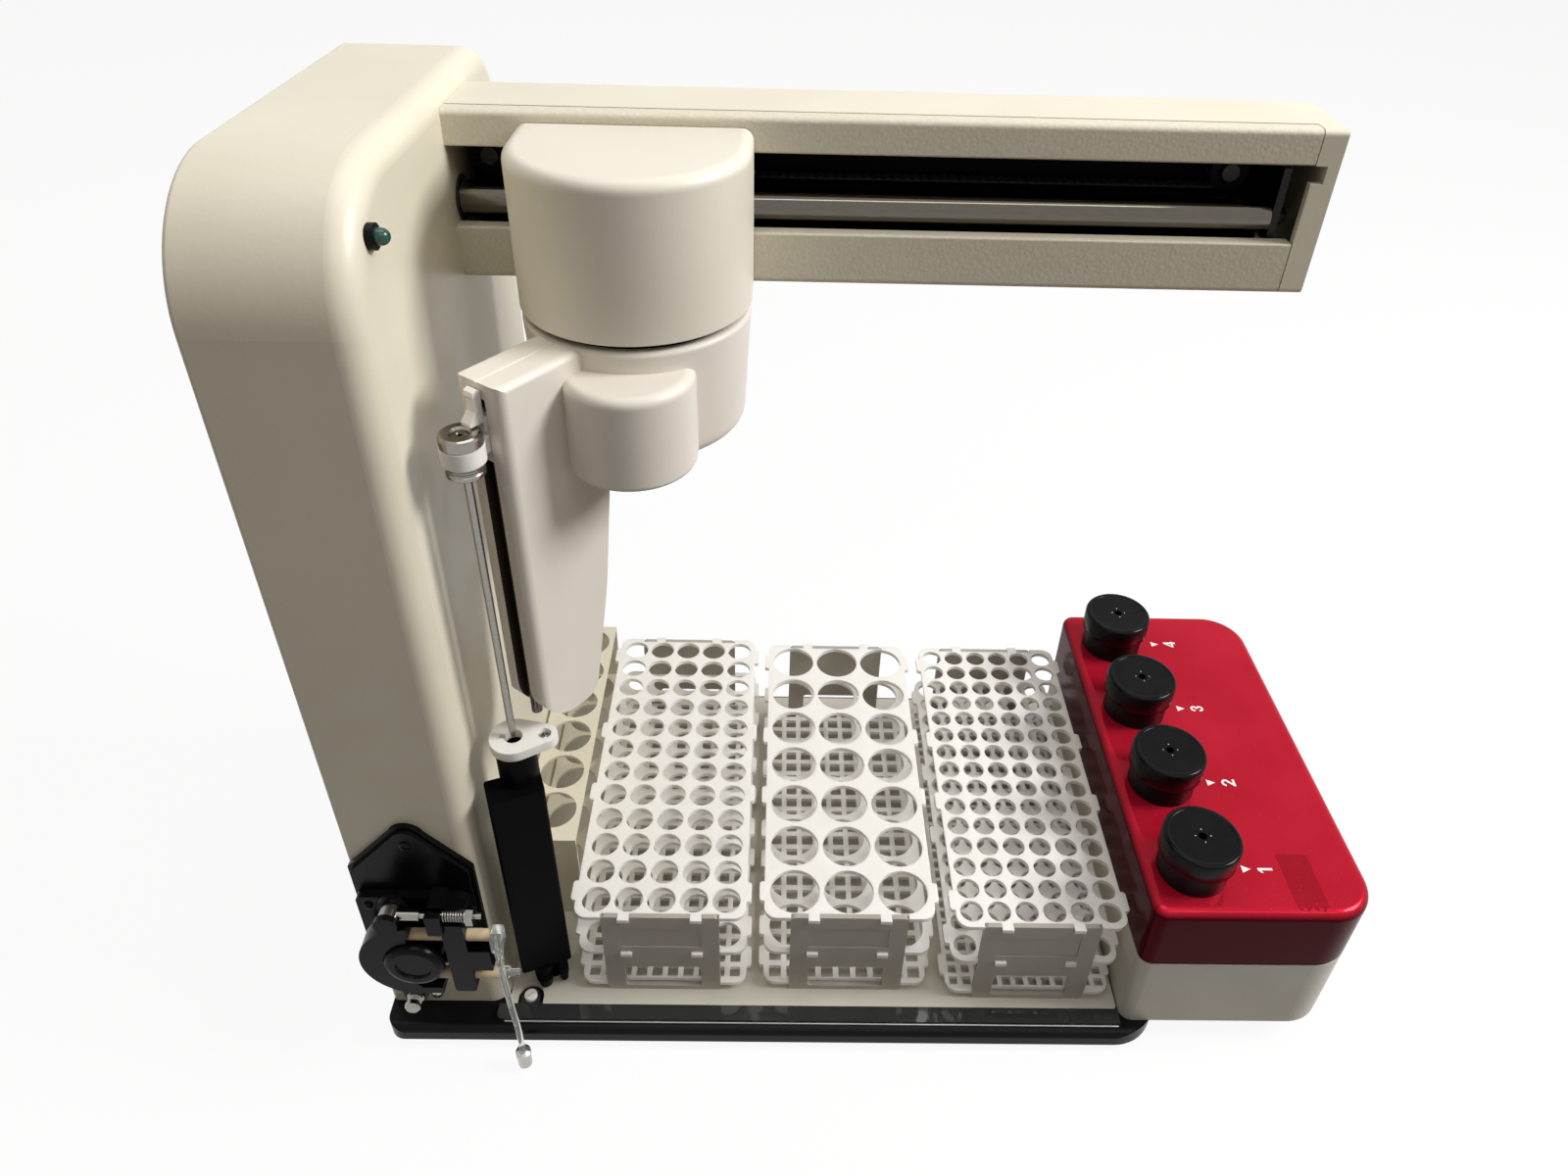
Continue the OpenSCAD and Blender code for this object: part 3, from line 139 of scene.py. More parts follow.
def pebbled_cream():
    """Textured powder coat: a pebble of about 1.2 mm that dulls the gloss, drawn at 2 mm so that it shows."""
    made, tree, place = finish("pebbled_cream_coat")
    cells = put(tree, "ShaderNodeTexVoronoi", {"Vector": place, "Scale": 1 / (2 * MM)})
    fine = put(tree, "ShaderNodeTexNoise", {"Vector": place, "Scale": 1 / (2.2 * MM)})
    pebble = put(tree, "ShaderNodeMath", {"operation": "ADD", 0: cells, 1: fine})
    hollow = put(tree, "ShaderNodeMapRange", {"Value": pebble, "From Min": 0.5, "From Max": 1.2})
    coat = put(tree, "ShaderNodeBsdfPrincipled", {
        "Base Color": put(tree, "ShaderNodeMix", {
            "data_type": "RGBA", "Factor": hollow, MIX_A: linear("#dbd4c0"), MIX_B: linear("#d3ccb7")}),
        "Roughness": put(tree, "ShaderNodeMapRange", {
            "Value": fine, **SPAN, "To Min": 0.42, "To Max": 0.58}),
        "Normal": put(tree, "ShaderNodeBump", {"Height": pebble, "Distance": 0.2 * MM, "Strength": 0.45}),
        "IOR": 1.5,
    })
    put(tree, "ShaderNodeOutputMaterial", {"Surface": coat})
    return made


def white_moulding(name, groove_shade):
    """ABS moulded in an etched tool: off white, a fine sand texture drawn at 1 mm to show, and the slider's
    groove in a colour of its own, a dark one being painted shade."""
    made, tree, place = finish(name)
    sand = put(tree, "ShaderNodeTexNoise", {"Vector": place, "Scale": 1 / (1 * MM)})
    cloud = put(tree, "ShaderNodeTexNoise", {"Vector": place, "Scale": 1 / (60 * MM)})
    patch = put(tree, "ShaderNodeMapRange", {"Value": cloud, **SPAN})
    white = put(tree, "ShaderNodeMix", {
        "data_type": "RGBA", "Factor": patch, MIX_A: linear("#ddd6ca"), MIX_B: linear("#e3dcd1")})
    on_wing = put(tree, "ShaderNodeSeparateXYZ", {0: put(tree, "ShaderNodeMapping", {
        "vector_type": "TEXTURE", "Vector": place, "Location": HEAD, "Rotation": (0, 0, HOME)})})
    deep = put(tree, "ShaderNodeMath", {
        "operation": "GREATER_THAN", 0: on_wing.outputs["X"], 1: GROOVE_FLOOR})
    between_walls = put(tree, "ShaderNodeMath", {
        "operation": "COMPARE", 0: on_wing.outputs["Y"], 1: 0, 2: GROOVE_SIDE})
    tall = put(tree, "ShaderNodeMath", {
        "operation": "COMPARE", 0: on_wing.outputs["Z"], 1: GROOVE_MIDDLE, 2: GROOVE_REACH})
    # inside the groove, where a dark groove colour is painted shade
    inside = put(tree, "ShaderNodeMath", {"operation": "MULTIPLY", 0: deep, 1: between_walls})
    inside = put(tree, "ShaderNodeMath", {"operation": "MULTIPLY", 0: inside, 1: tall})
    plastic = put(tree, "ShaderNodeBsdfPrincipled", {
        "Base Color": put(tree, "ShaderNodeMix", {
            "data_type": "RGBA", "Factor": inside, MIX_A: white, MIX_B: linear(groove_shade)}),
        "Roughness": put(tree, "ShaderNodeMapRange", {
            "Value": sand, **SPAN, "To Min": 0.4, "To Max": 0.5}),
        "Normal": put(tree, "ShaderNodeBump", {"Height": sand, "Distance": 0.06 * MM, "Strength": 0.5}),
        "IOR": 1.53,
    })
    put(tree, "ShaderNodeOutputMaterial", {"Surface": plastic})
    return made


def milky_plastic(name, dark, light, matt, bleed):
    """Moulded polypropylene, nylon or sawn acrylic: milky, with faint flow marks, and light bleeds through
    thin webs."""
    made, tree, place = finish(name)
    flow = put(tree, "ShaderNodeTexNoise", {"Vector": place, "Scale": 1 / (25 * MM), "Detail": 3})
    skin = put(tree, "ShaderNodeTexNoise", {"Vector": place, "Scale": 1 / (2 * MM)})
    patch = put(tree, "ShaderNodeMapRange", {"Value": flow, **SPAN})
    plastic = put(tree, "ShaderNodeBsdfPrincipled", {
        "Base Color": put(tree, "ShaderNodeMix", {
            "data_type": "RGBA", "Factor": patch, MIX_A: linear(dark), MIX_B: linear(light)}),
        "Roughness": put(tree, "ShaderNodeMapRange", {
            "Value": flow, **SPAN, "To Min": matt, "To Max": matt + 0.1}),
        "Normal": put(tree, "ShaderNodeBump", {"Height": skin, "Distance": 0.05 * MM, "Strength": 0.4}),
        "Subsurface Weight": bleed,
        "Subsurface Radius": (4 * MM, 4 * MM, 3.5 * MM),
        "Subsurface Scale": 1,
        "IOR": 1.49,
    })
    put(tree, "ShaderNodeOutputMaterial", {"Surface": plastic})
    return made


def black_plastic(name, rough, dust, shine):
    """Glass filled nylon or acetal: near black, with dust specks of 1.6 mm that have settled on it."""
    made, tree, place = finish(name)
    specks = put(tree, "ShaderNodeTexNoise", {"Vector": place, "Scale": 1 / (1.6 * MM)})
    handled = put(tree, "ShaderNodeTexNoise", {"Vector": place, "Scale": 1 / (14 * MM)})
    settled = put(tree, "ShaderNodeMapRange", {
        "Value": specks, "From Min": 0.62, "From Max": 0.8, "To Min": 0, "To Max": dust})
    plastic = put(tree, "ShaderNodeBsdfPrincipled", {
        "Base Color": put(tree, "ShaderNodeMix", {
            "data_type": "RGBA", "Factor": settled, MIX_A: linear("#0b0b0c"), MIX_B: linear("#4a4843")}),
        "Roughness": put(tree, "ShaderNodeMapRange", {
            "Value": handled, **SPAN, "To Min": rough, "To Max": rough + 0.06}),
        "Specular IOR Level": shine,
        "IOR": 1.5,
    })
    put(tree, "ShaderNodeOutputMaterial", {"Surface": plastic})
    return made


def turned_acetal(name, middle):
    """Black acetal faced on a lathe: a glossy face with rings round middle, cut 0.2 mm apart and drawn at
    1 mm so that they show, and a satin side."""
    # a wave texture of scale 1 has 20 / tau waves to the metre
    ring, waves_at_one = 1 * MM, 20 / math.tau
    made, tree, place = finish(name)
    turned = put(tree, "ShaderNodeMapping", {"Vector": place, "Location": -middle})
    rings = put(tree, "ShaderNodeTexWave", {
        "wave_type": "RINGS", "rings_direction": "Z", "Vector": turned, "Scale": 1 / (waves_at_one * ring)})
    handled = put(tree, "ShaderNodeTexNoise", {"Vector": place, "Scale": 1 / (14 * MM)})
    facing = put(tree, "ShaderNodeSeparateXYZ", {
        0: put(tree, "ShaderNodeNewGeometry", {}).outputs["Normal"]})
    smudge = put(tree, "ShaderNodeMapRange", {"Value": handled, "From Min": 0.35, "From Max": 0.75})
    plastic = put(tree, "ShaderNodeBsdfPrincipled", {
        "Base Color": put(tree, "ShaderNodeMix", {
            "data_type": "RGBA", "Factor": smudge, MIX_A: linear("#080809"), MIX_B: linear("#101011")}),
        "Roughness": put(tree, "ShaderNodeMapRange", {
            "Value": put(tree, "ShaderNodeMath", {"operation": "ABSOLUTE", 0: facing.outputs["Z"]}),
            "From Min": 0.05, "From Max": 0.35, "To Min": 0.42, "To Max": 0.14}),
        "Normal": put(tree, "ShaderNodeBump", {"Height": rings, "Distance": 0.012 * MM}),
        "Specular IOR Level": 0.1,
        "IOR": 1.48,
    })
    put(tree, "ShaderNodeOutputMaterial", {"Surface": plastic})
    return made


def red_anodised(name, wall, dark, light, rough):
    """Red anodised aluminium, or film over it: brushed along Y, its walls painted a deeper red as shade, a
    little dust.
    """
    made, tree, place = finish(name)
    along = put(tree, "ShaderNodeMapping", {"Vector": place, "Scale": (12, 1, 12)})
    brush = put(tree, "ShaderNodeTexNoise", {"Vector": along, "Scale": 1 / (8 * MM), "Detail": 3})
    cloud = put(tree, "ShaderNodeTexNoise", {"Vector": place, "Scale": 1 / (50 * MM)})
    motes = put(tree, "ShaderNodeTexNoise", {"Vector": place, "Scale": 1 / (1 * MM), "Detail": 1})
    facing = put(tree, "ShaderNodeSeparateXYZ", {
        0: put(tree, "ShaderNodeNewGeometry", {}).outputs["Normal"]})
    level = put(tree, "ShaderNodeMapRange", {
        "Value": facing.outputs["Z"], "From Min": 0.25, "From Max": 0.85})
    patch = put(tree, "ShaderNodeMapRange", {"Value": cloud, **SPAN})
    specks = put(tree, "ShaderNodeMapRange", {
        "Value": motes, "From Min": 0.72, "From Max": 0.8, "To Min": 0, "To Max": 0.3})
    dusty = put(tree, "ShaderNodeMath", {"operation": "MULTIPLY", 0: specks, 1: level})
    top = put(tree, "ShaderNodeMix", {
        "data_type": "RGBA", "Factor": patch, MIX_A: linear(dark), MIX_B: linear(light)})
    # painted shade: faces that are not level take the darker wall colour
    wall_painted_shade = put(tree, "ShaderNodeMix", {
        "data_type": "RGBA", "Factor": level, MIX_A: linear(wall), MIX_B: top})
    anodised = put(tree, "ShaderNodeBsdfPrincipled", {
        "Base Color": put(tree, "ShaderNodeMix", {
            "data_type": "RGBA", "Factor": dusty, MIX_A: wall_painted_shade, MIX_B: linear("#d9a5a2")}),
        "Metallic": 0.3,
        "Roughness": put(tree, "ShaderNodeMapRange", {
            "Value": brush, **SPAN, "To Min": rough, "To Max": rough + 0.06}),
        "Normal": put(tree, "ShaderNodeBump", {"Height": brush, "Distance": 0.01 * MM, "Strength": 0.3}),
        "Specular IOR Level": 0.01,
        "Coat Weight": put(tree, "ShaderNodeMath", {"operation": "MULTIPLY", 0: level, 1: 0.12}),
        "Coat Roughness": 0.06,
        "IOR": 1.45,
    })
    put(tree, "ShaderNodeOutputMaterial", {"Surface": anodised})
    return made


def metal(name, dark, light, rough, stretch):
    """Turned or ground metal: bright, with grinding marks of about 4 mm that vary its gloss a little."""
    made, tree, place = finish(name)
    marks = put(tree, "ShaderNodeMapping", {"Vector": place, "Scale": stretch})
    grind = put(tree, "ShaderNodeTexNoise", {"Vector": marks, "Scale": 1 / (4 * MM), "Detail": 3})
    patch = put(tree, "ShaderNodeMapRange", {"Value": grind, **SPAN})
    ground = put(tree, "ShaderNodeBsdfPrincipled", {
        "Base Color": put(tree, "ShaderNodeMix", {
            "data_type": "RGBA", "Factor": patch, MIX_A: linear(dark), MIX_B: linear(light)}),
        "Metallic": 1,
        "Roughness": put(tree, "ShaderNodeMapRange", {
            "Value": grind, **SPAN, "To Min": rough, "To Max": rough + 0.06}),
    })
    put(tree, "ShaderNodeOutputMaterial", {"Surface": ground})
    return made


def rubber(name, dark, light):
    """Moulded rubber: matt, with a little bloom on it in 5 mm clouds."""
    made, tree, place = finish(name)
    bloom = put(tree, "ShaderNodeTexNoise", {"Vector": place, "Scale": 1 / (5 * MM), "Detail": 3})
    skin = put(tree, "ShaderNodeTexNoise", {"Vector": place, "Scale": 1 / (0.8 * MM)})
    patch = put(tree, "ShaderNodeMapRange", {"Value": bloom, "From Min": 0.35, "From Max": 0.75})
    moulded = put(tree, "ShaderNodeBsdfPrincipled", {
        "Base Color": put(tree, "ShaderNodeMix", {
            "data_type": "RGBA", "Factor": patch, MIX_A: linear(dark), MIX_B: linear(light)}),
        "Roughness": put(tree, "ShaderNodeMapRange", {
            "Value": bloom, **SPAN, "To Min": 0.62, "To Max": 0.78}),
        "Normal": put(tree, "ShaderNodeBump", {"Height": skin, "Distance": 0.04 * MM, "Strength": 0.5}),
        "IOR": 1.52,
    })
    put(tree, "ShaderNodeOutputMaterial", {"Surface": moulded})
    return made


def clear_plastic(name, colour, rough, clear, ior):
    """Clear moulded or extruded plastic: a faint tint, and a slight haze from handling in 12 mm clouds."""
    made, tree, place = finish(name)
    haze = put(tree, "ShaderNodeTexNoise", {"Vector": place, "Scale": 1 / (12 * MM)})
    plastic = put(tree, "ShaderNodeBsdfPrincipled", {
        "Base Color": linear(colour),
        "Roughness": put(tree, "ShaderNodeMapRange", {
            "Value": haze, **SPAN, "To Min": rough, "To Max": rough + 0.03}),
        "Transmission Weight": clear,
        "IOR": ior,
    })
    put(tree, "ShaderNodeOutputMaterial", {"Surface": plastic})
    return made


def tan_hose():
    """Extruded pump hose: tan and slightly waxy, with a faint rub mark every 4 mm."""
    made, tree, place = finish("tan_pump_hose")
    rub = put(tree, "ShaderNodeTexNoise", {"Vector": place, "Scale": 1 / (4 * MM), "Detail": 3})
    patch = put(tree, "ShaderNodeMapRange", {"Value": rub, **SPAN})
    hose = put(tree, "ShaderNodeBsdfPrincipled", {
        "Base Color": put(tree, "ShaderNodeMix", {
            "data_type": "RGBA", "Factor": patch, MIX_A: linear("#cdb591"), MIX_B: linear("#dcc8a6")}),
        "Roughness": put(tree, "ShaderNodeMapRange", {
            "Value": rub, **SPAN, "To Min": 0.4, "To Max": 0.55}),
        "Subsurface Weight": 0.2,
        "Subsurface Radius": (2 * MM, 1.5 * MM, 1 * MM),
        "Subsurface Scale": 1,
        "IOR": 1.45,
    })
    put(tree, "ShaderNodeOutputMaterial", {"Surface": hose})
    return made


def green_glass():
    """Dyed diffusing lens of the lamp, unlit: deep green and glossy, its dye uneven by 1.5 mm."""
    made, tree, place = finish("green_lamp_lens")
    dye = put(tree, "ShaderNodeTexNoise", {"Vector": place, "Scale": 1 / (1.5 * MM)})
    lens = put(tree, "ShaderNodeBsdfPrincipled", {
        "Base Color": put(tree, "ShaderNodeMix", {
            "data_type": "RGBA", "Factor": dye, MIX_A: linear("#06352a"), MIX_B: linear("#0f5240")}),
        "Roughness": put(tree, "ShaderNodeMapRange", {
            "Value": dye, **SPAN, "To Min": 0.12, "To Max": 0.2}),
        "IOR": 1.5,
    })
    put(tree, "ShaderNodeOutputMaterial", {"Surface": lens})
    return made


def white_print():
    """Screen printed ink: opaque white, its cover uneven by 0.8 mm."""
    made, tree, place = finish("white_ink")
    cover = put(tree, "ShaderNodeTexNoise", {"Vector": place, "Scale": 1 / (0.8 * MM)})
    ink = put(tree, "ShaderNodeBsdfPrincipled", {
        "Base Color": put(tree, "ShaderNodeMix", {
            "data_type": "RGBA", "Factor": cover, MIX_A: linear("#dcdad8"), MIX_B: linear("#f0efed")}),
        "Roughness": put(tree, "ShaderNodeMapRange", {
            "Value": cover, **SPAN, "To Min": 0.45, "To Max": 0.6}),
    })
    put(tree, "ShaderNodeOutputMaterial", {"Surface": ink})
    return made


CREAM = cream_paint("cream_enamel", "#d9d2bd", "#e0d9c5")
DECK = cream_paint("grey_cream_sheet", "#c5c0b2", "#cbc6b9")
COVER = cream_paint("pale_cream_enamel", "#dcd5c5", "#e3ddce")
PEBBLE = pebbled_cream()
WHITE = white_moulding("off_white_abs", groove_shade="#e0d9ce")
# the wing's groove painted near black as shade
GROOVE_SHADED = white_moulding("off_white_abs_painted_groove_shade", groove_shade="#2b211b")
NYLON = milky_plastic("white_nylon", "#d6d3c9", "#e0ddd4", matt=0.36, bleed=0.3)
RACK = milky_plastic("white_polypropylene", "#eeebe4", "#f4f1eb", matt=0.34, bleed=0.4)
# the rack ends: frosted and greyish, and painted darker still as shade
RACK_END_SHADED = milky_plastic("frosted_polypropylene_painted_shade", "#a29c92", "#aea89e", matt=0.44, bleed=0.15)
SAWN_EDGE = milky_plastic("sawn_acrylic", "#d8dad8", "#eceeec", matt=0.42, bleed=0.15)
BLACK_BASE = black_plastic("black_moulded_base", rough=0.28, dust=0.12, shine=0.1)
BLACK_GLOSS = black_plastic("black_acetal", rough=0.2, dust=0.08, shine=0.07)
BLACK_POST = black_plastic("black_polymer_block", rough=0.3, dust=0.04, shine=0.02)
BLACK_MATT = black_plastic("black_anodised_liner", rough=0.5, dust=0.1, shine=0.06)
# the wall colours of the lid and its film are painted shade on the lid's sides
RED = red_anodised("red_anodised_aluminium", wall="#480210", dark="#ad1429", light="#b81c31", rough=0.18)
RED_FILM = red_anodised("red_film", wall="#5e0714", dark="#8d0c1e", light="#961123", rough=0.42)
STEEL = metal("turned_stainless", "#8b8882", "#96938d", rough=0.16, stretch=(1, 1, 9))
# painted shade and reflection: the shaft's colour is darker than chrome, as if it mirrored dark surroundings
CHROME_SHADED = metal("ground_chromed_shaft_painted_shade", "#5f5a52", "#6a655d", rough=0.06, stretch=(0.6, 14, 14))
PLATED = metal("plated_steel", "#aeaba5", "#bab7b1", rough=0.2, stretch=(1, 1, 9))
DARK_METAL = metal("blackened_steel", "#211f1d", "#2e2c29", rough=0.34, stretch=(1, 1, 6))
BRONZE = metal("sintered_bronze", "#7d5c31", "#9c7845", rough=0.38, stretch=(3, 3, 3))
FEET = rubber("black_rubber", "#161615", "#2b2a28")
BELT = rubber("belt_neoprene", "#111110", "#262523")
ACRYLIC = clear_plastic("clear_acrylic", "#eef2f2", rough=0.01, clear=0.97, ior=1.49)
# the hose and its elbow are drawn solid, so a low IOR gives the weak lens of their thin walls
CLEAR_TUBE = clear_plastic("clear_vinyl", "#e4e6e3", rough=0.03, clear=0.88, ior=1.25)
TAN = tan_hose()
LENS = green_glass()
INK = white_print()

FINISHES = {
    CREAM: ["tower_shell", "tower_side_panel", "arm_beam", "arm_end_cap", "standards_rack"],
    DECK: ["deck_plate", "pod_body"],
    COVER: ["carriage_cover"],
    PEBBLE: ["arm_upper_cover", "arm_lower_cover"],
    WHITE: ["rotor_housing"],
    GROOVE_SHADED: ["wing_front", "wing_back"],
    RACK: ["rack_a_plates", "rack_b_plates", "rack_c_plates", "rinse_cap", "z_slider"],
    RACK_END_SHADED: ["rack_ends"],
    BLACK_BASE: ["base_tray", "led_bezel", "pump_plate"],
    BLACK_GLOSS: [
        "pump_bracket", "pump_head", "pump_rotor", "pump_lever", "pod_gasket",
        "knob_1", "knob_2", "knob_3", "knob_4",
    ],
    BLACK_POST: ["rinse_block", "rinse_tube", "rinse_barbs"],
    BLACK_MATT: ["arm_liner", "carriage_block", "drive_pulley", "idler_pulley"],
    RED: ["pod_lid"],
    STEEL: ["rotor_spindle", "probe_clamp", "probe", "pump_pivot", "pump_rod", "pump_spring"],
    PLATED: ["panel_screws", "knob_bushes", "drain_fitting"],
    CHROME_SHADED: ["guide_shaft", "lift_rod"],
    DARK_METAL: ["shaft_bracket"],
    BRONZE: ["carriage_bushes"],
    FEET: ["base_feet"],
    BELT: ["drive_belt"],
    ACRYLIC: ["clear_strip"],
    CLEAR_TUBE: ["pump_connectors"],
    TAN: ["pump_tubing"],
    LENS: ["led_lens"],
    INK: ["pod_marks"],
}
for coat, names in FINISHES.items():
    for name in names:
        nodes[name].data.materials.clear()
        nodes[name].data.materials.append(coat)

# ---------------------------------------------------------------- drain tube

# the pump's axis, and the drain tube's route from it, in millimetres
PUMP = Vector((-262, -145, 108))
DRAIN = [
    (48, -4, 1.2), (48, -4.6, -5), (48.5, -7, -14), (49, -7.6, -24),
    (50, -8, -44), (51, -8, -64), (51, -8, -78), (51, -8, -86),
]
DRAIN_STEPS = 3
DRAIN_WIDE = 3.7 * MM


def between(a, b, c, d, t):
    """the point a share t of the way from b to c, on the smooth curve through a, b, c and d"""
    bend = (2 * a - 5 * b + 4 * c - d) * t * t
    twist = (3 * b - a - 3 * c + d) * t**3
    return 0.5 * (2 * b + (c - a) * t + bend + twist)


def smooth_run(points, steps):
    """points with steps - 1 more between each pair, on one smooth curve, as the CAD route has them"""
    p = [Vector(q) for q in points]
    p = [p[0]] + p + [p[-1]]
    run = [between(*p[i:i + 4], j / steps) for i in range(len(p) - 3) for j in range(steps)]
    return run + [p[-2]]


def tube(name, run, radius, coat):
    """a round tube along run, as a curve of one open spline"""
    line = bpy.data.curves.new(name, "CURVE")
    line.dimensions = "3D"
    line.bevel_depth = radius
    line.bevel_resolution = 5
    line.use_fill_caps = True
    spline = line.splines.new("POLY")
    spline.points.add(len(run) - 1)
    for point, at in zip(spline.points, run):
        point.co = (*at, 1)
    spline.use_smooth = True
    made = bpy.data.objects.new(name, line)
    scene.collection.objects.link(made)
    line.materials.append(coat)
    return made


drain_run = [(PUMP + at) * MM for at in smooth_run(DRAIN, DRAIN_STEPS)]
drain_hose = tube("drain_hose", drain_run, DRAIN_WIDE / 2, CLEAR_TUBE)
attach(drain_hose, "frame")
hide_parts("drain_tube")

# ---------------------------------------------------------------- modelling by hand


def clear_selection():
    """object mode, with nothing selected"""
    if bpy.context.object and bpy.context.object.mode != "OBJECT":
        bpy.ops.object.mode_set(mode="OBJECT")
    bpy.ops.object.select_all(action="DESELECT")


def only(piece):
    """leaves one piece selected and active"""
    clear_selection()
    piece.select_set(True)
    bpy.context.view_layer.objects.active = piece
    return piece


def named(name, scale=(1, 1, 1)):
    """the primitive just added: named, scaled, its transforms applied"""
    made = bpy.context.object
    made.name = name
    made.scale = scale
    bpy.ops.object.transform_apply(location=True, rotation=True, scale=True)
    return made


def edit_all():
    """edit mode, with everything in the active piece selected"""
    bpy.ops.object.mode_set(mode="EDIT")
    bpy.ops.mesh.select_all(action="SELECT")


def pick(piece, kind, test):
    """in edit mode, selects the verts, edges or faces whose middle passes the test"""
    bpy.ops.object.mode_set(mode="EDIT")
    bpy.ops.mesh.select_mode(type=kind)
    bpy.ops.mesh.select_all(action="DESELECT")
    bpy.ops.object.mode_set(mode="OBJECT")
    mesh = piece.data
    if kind == "FACE":
        for face in mesh.polygons:
            face.select = test(face.center, face.normal)
    elif kind == "EDGE":
        for edge in mesh.edges:
            a, b = (mesh.vertices[i].co for i in edge.vertices)
            edge.select = test((a + b) / 2, (b - a).normalized())
    else:
        for vert in mesh.vertices:
            vert.select = test(vert.co, vert.normal)
    bpy.ops.object.mode_set(mode="EDIT")


def modify(piece, kind, **values):
    """adds a modifier and applies it"""
    only(piece)
    made = piece.modifiers.new(kind.lower(), kind)
    for key, value in values.items():
        setattr(made, key, value)
    bpy.ops.object.modifier_apply(modifier=made.name)


def join(into, others):
    """joins the others into one piece"""
    only(into)
    for other in others:
        other.select_set(True)
    bpy.ops.object.join()


def four(piece, stem, step):
    """the piece itself and three copies, each with its own mesh, numbered and step apart"""
    made = [piece]
    for count in range(1, 4):
        only(piece)
        bpy.ops.object.duplicate(linked=False)
        other = bpy.context.object
        other.name = f"{stem}_{count + 1}"
        other.location = step * count
        bpy.ops.object.transform_apply(location=True)
        made.append(other)
    return made


def close_up(piece, coat, body, angle=35):
    """merges doubles, turns faces outwards, places the mesh at the origin, then coat and body"""
    only(piece)
    bpy.ops.object.transform_apply(location=True, rotation=True, scale=True)
    edit_all()
    bpy.ops.mesh.remove_doubles(threshold=1e-6)
    bpy.ops.mesh.normals_make_consistent(inside=False)
    bpy.ops.object.mode_set(mode="OBJECT")
    bpy.ops.object.shade_smooth_by_angle(angle=math.radians(angle))
    piece.data.materials.clear()
    piece.data.materials.append(coat)
    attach(piece, body)
    return piece


# ---------------------------------------------------------------- spring, pump hose, belt

# a tooth of the belt: its length, its height, the share of its length left at the tip,
# how far its middle is inside the belt, and the teeth's pitch and number on each run
TOOTH_LONG, TOOTH_TALL, TOOTH_TIP = 2.8 * MM, 0.7 * MM, 0.55
TOOTH_INSIDE, TOOTH_PITCH, TEETH = 1.0 * MM, 5 * MM, 75


def spring_wire():
    """eight turns of 0.8 mm wire on the pump's rod, with its cut ends closed"""
    turns, wire, coil = 8, 0.8 * MM, 3.1 * MM
    start, end = (PUMP.x + 20.7) * MM, (PUMP.x + 33) * MM
    rod_y, rod_z = (PUMP.y - 1.5) * MM, (PUMP.z + 38) * MM
    clear_selection()
    bpy.ops.mesh.primitive_circle_add(vertices=12, radius=wire / 2, rotation=(math.pi / 2, 0, 0))
    made = named("pump_spring_wire")
    edit_all()
    bpy.ops.transform.translate(value=(wire / 2, 0, coil))
    bpy.ops.object.mode_set(mode="OBJECT")
    pitch = (end - start - wire) / turns
    modify(made, "SCREW", axis="X", steps=28, render_steps=28, iterations=turns, screw_offset=pitch)
    bpy.ops.object.mode_set(mode="EDIT")
    bpy.ops.mesh.select_mode(type="VERT")
    bpy.ops.mesh.select_all(action="DESELECT")
    bpy.ops.mesh.select_non_manifold()
    bpy.ops.mesh.fill_holes(sides=0)
    bpy.ops.object.mode_set(mode="OBJECT")
    made.location = (start, rod_y, rod_z)
    close_up(made, STEEL, "pump_rod")
    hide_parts("pump_spring")
    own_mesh(made)


def pump_hose():
    """the tan hose round the rollers, its legs out to the clear fittings"""
    loop, bends, legs, thick = 18.5, 24, (45, 30, 15), 3.5 * MM
    turns = [math.pi * k / bends for k in range(bends + 1)]
    run = [(x, 0, loop) for x in legs]
    run += [(-loop * math.sin(a), 0, loop * math.cos(a)) for a in turns]
    run += [(x, 0, -loop) for x in reversed(legs)]
    made = tube("pump_hose", [(PUMP + Vector(at)) * MM for at in run], thick, TAN)
    only(made)
    bpy.ops.object.convert(target="MESH")
    made = close_up(bpy.context.object, TAN, "frame", angle=50)
    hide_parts("pump_tubing")


def belt_tooth(at, wide, middle):
    """a tooth across the belt, narrower on its side towards the belt's middle height"""
    clear_selection()
    bpy.ops.mesh.primitive_cube_add(size=1, location=at)
    tooth = named("belt_tooth", (TOOTH_LONG, wide, TOOTH_TALL))
    depth = abs(at[2] - middle)
    pick(tooth, "FACE", lambda face, out: abs(out.z) > 0.5 and abs(face.z - middle) < depth)
    bpy.ops.transform.resize(value=(TOOTH_TIP, 1, 1))
    bpy.ops.object.mode_set(mode="OBJECT")
    return tooth


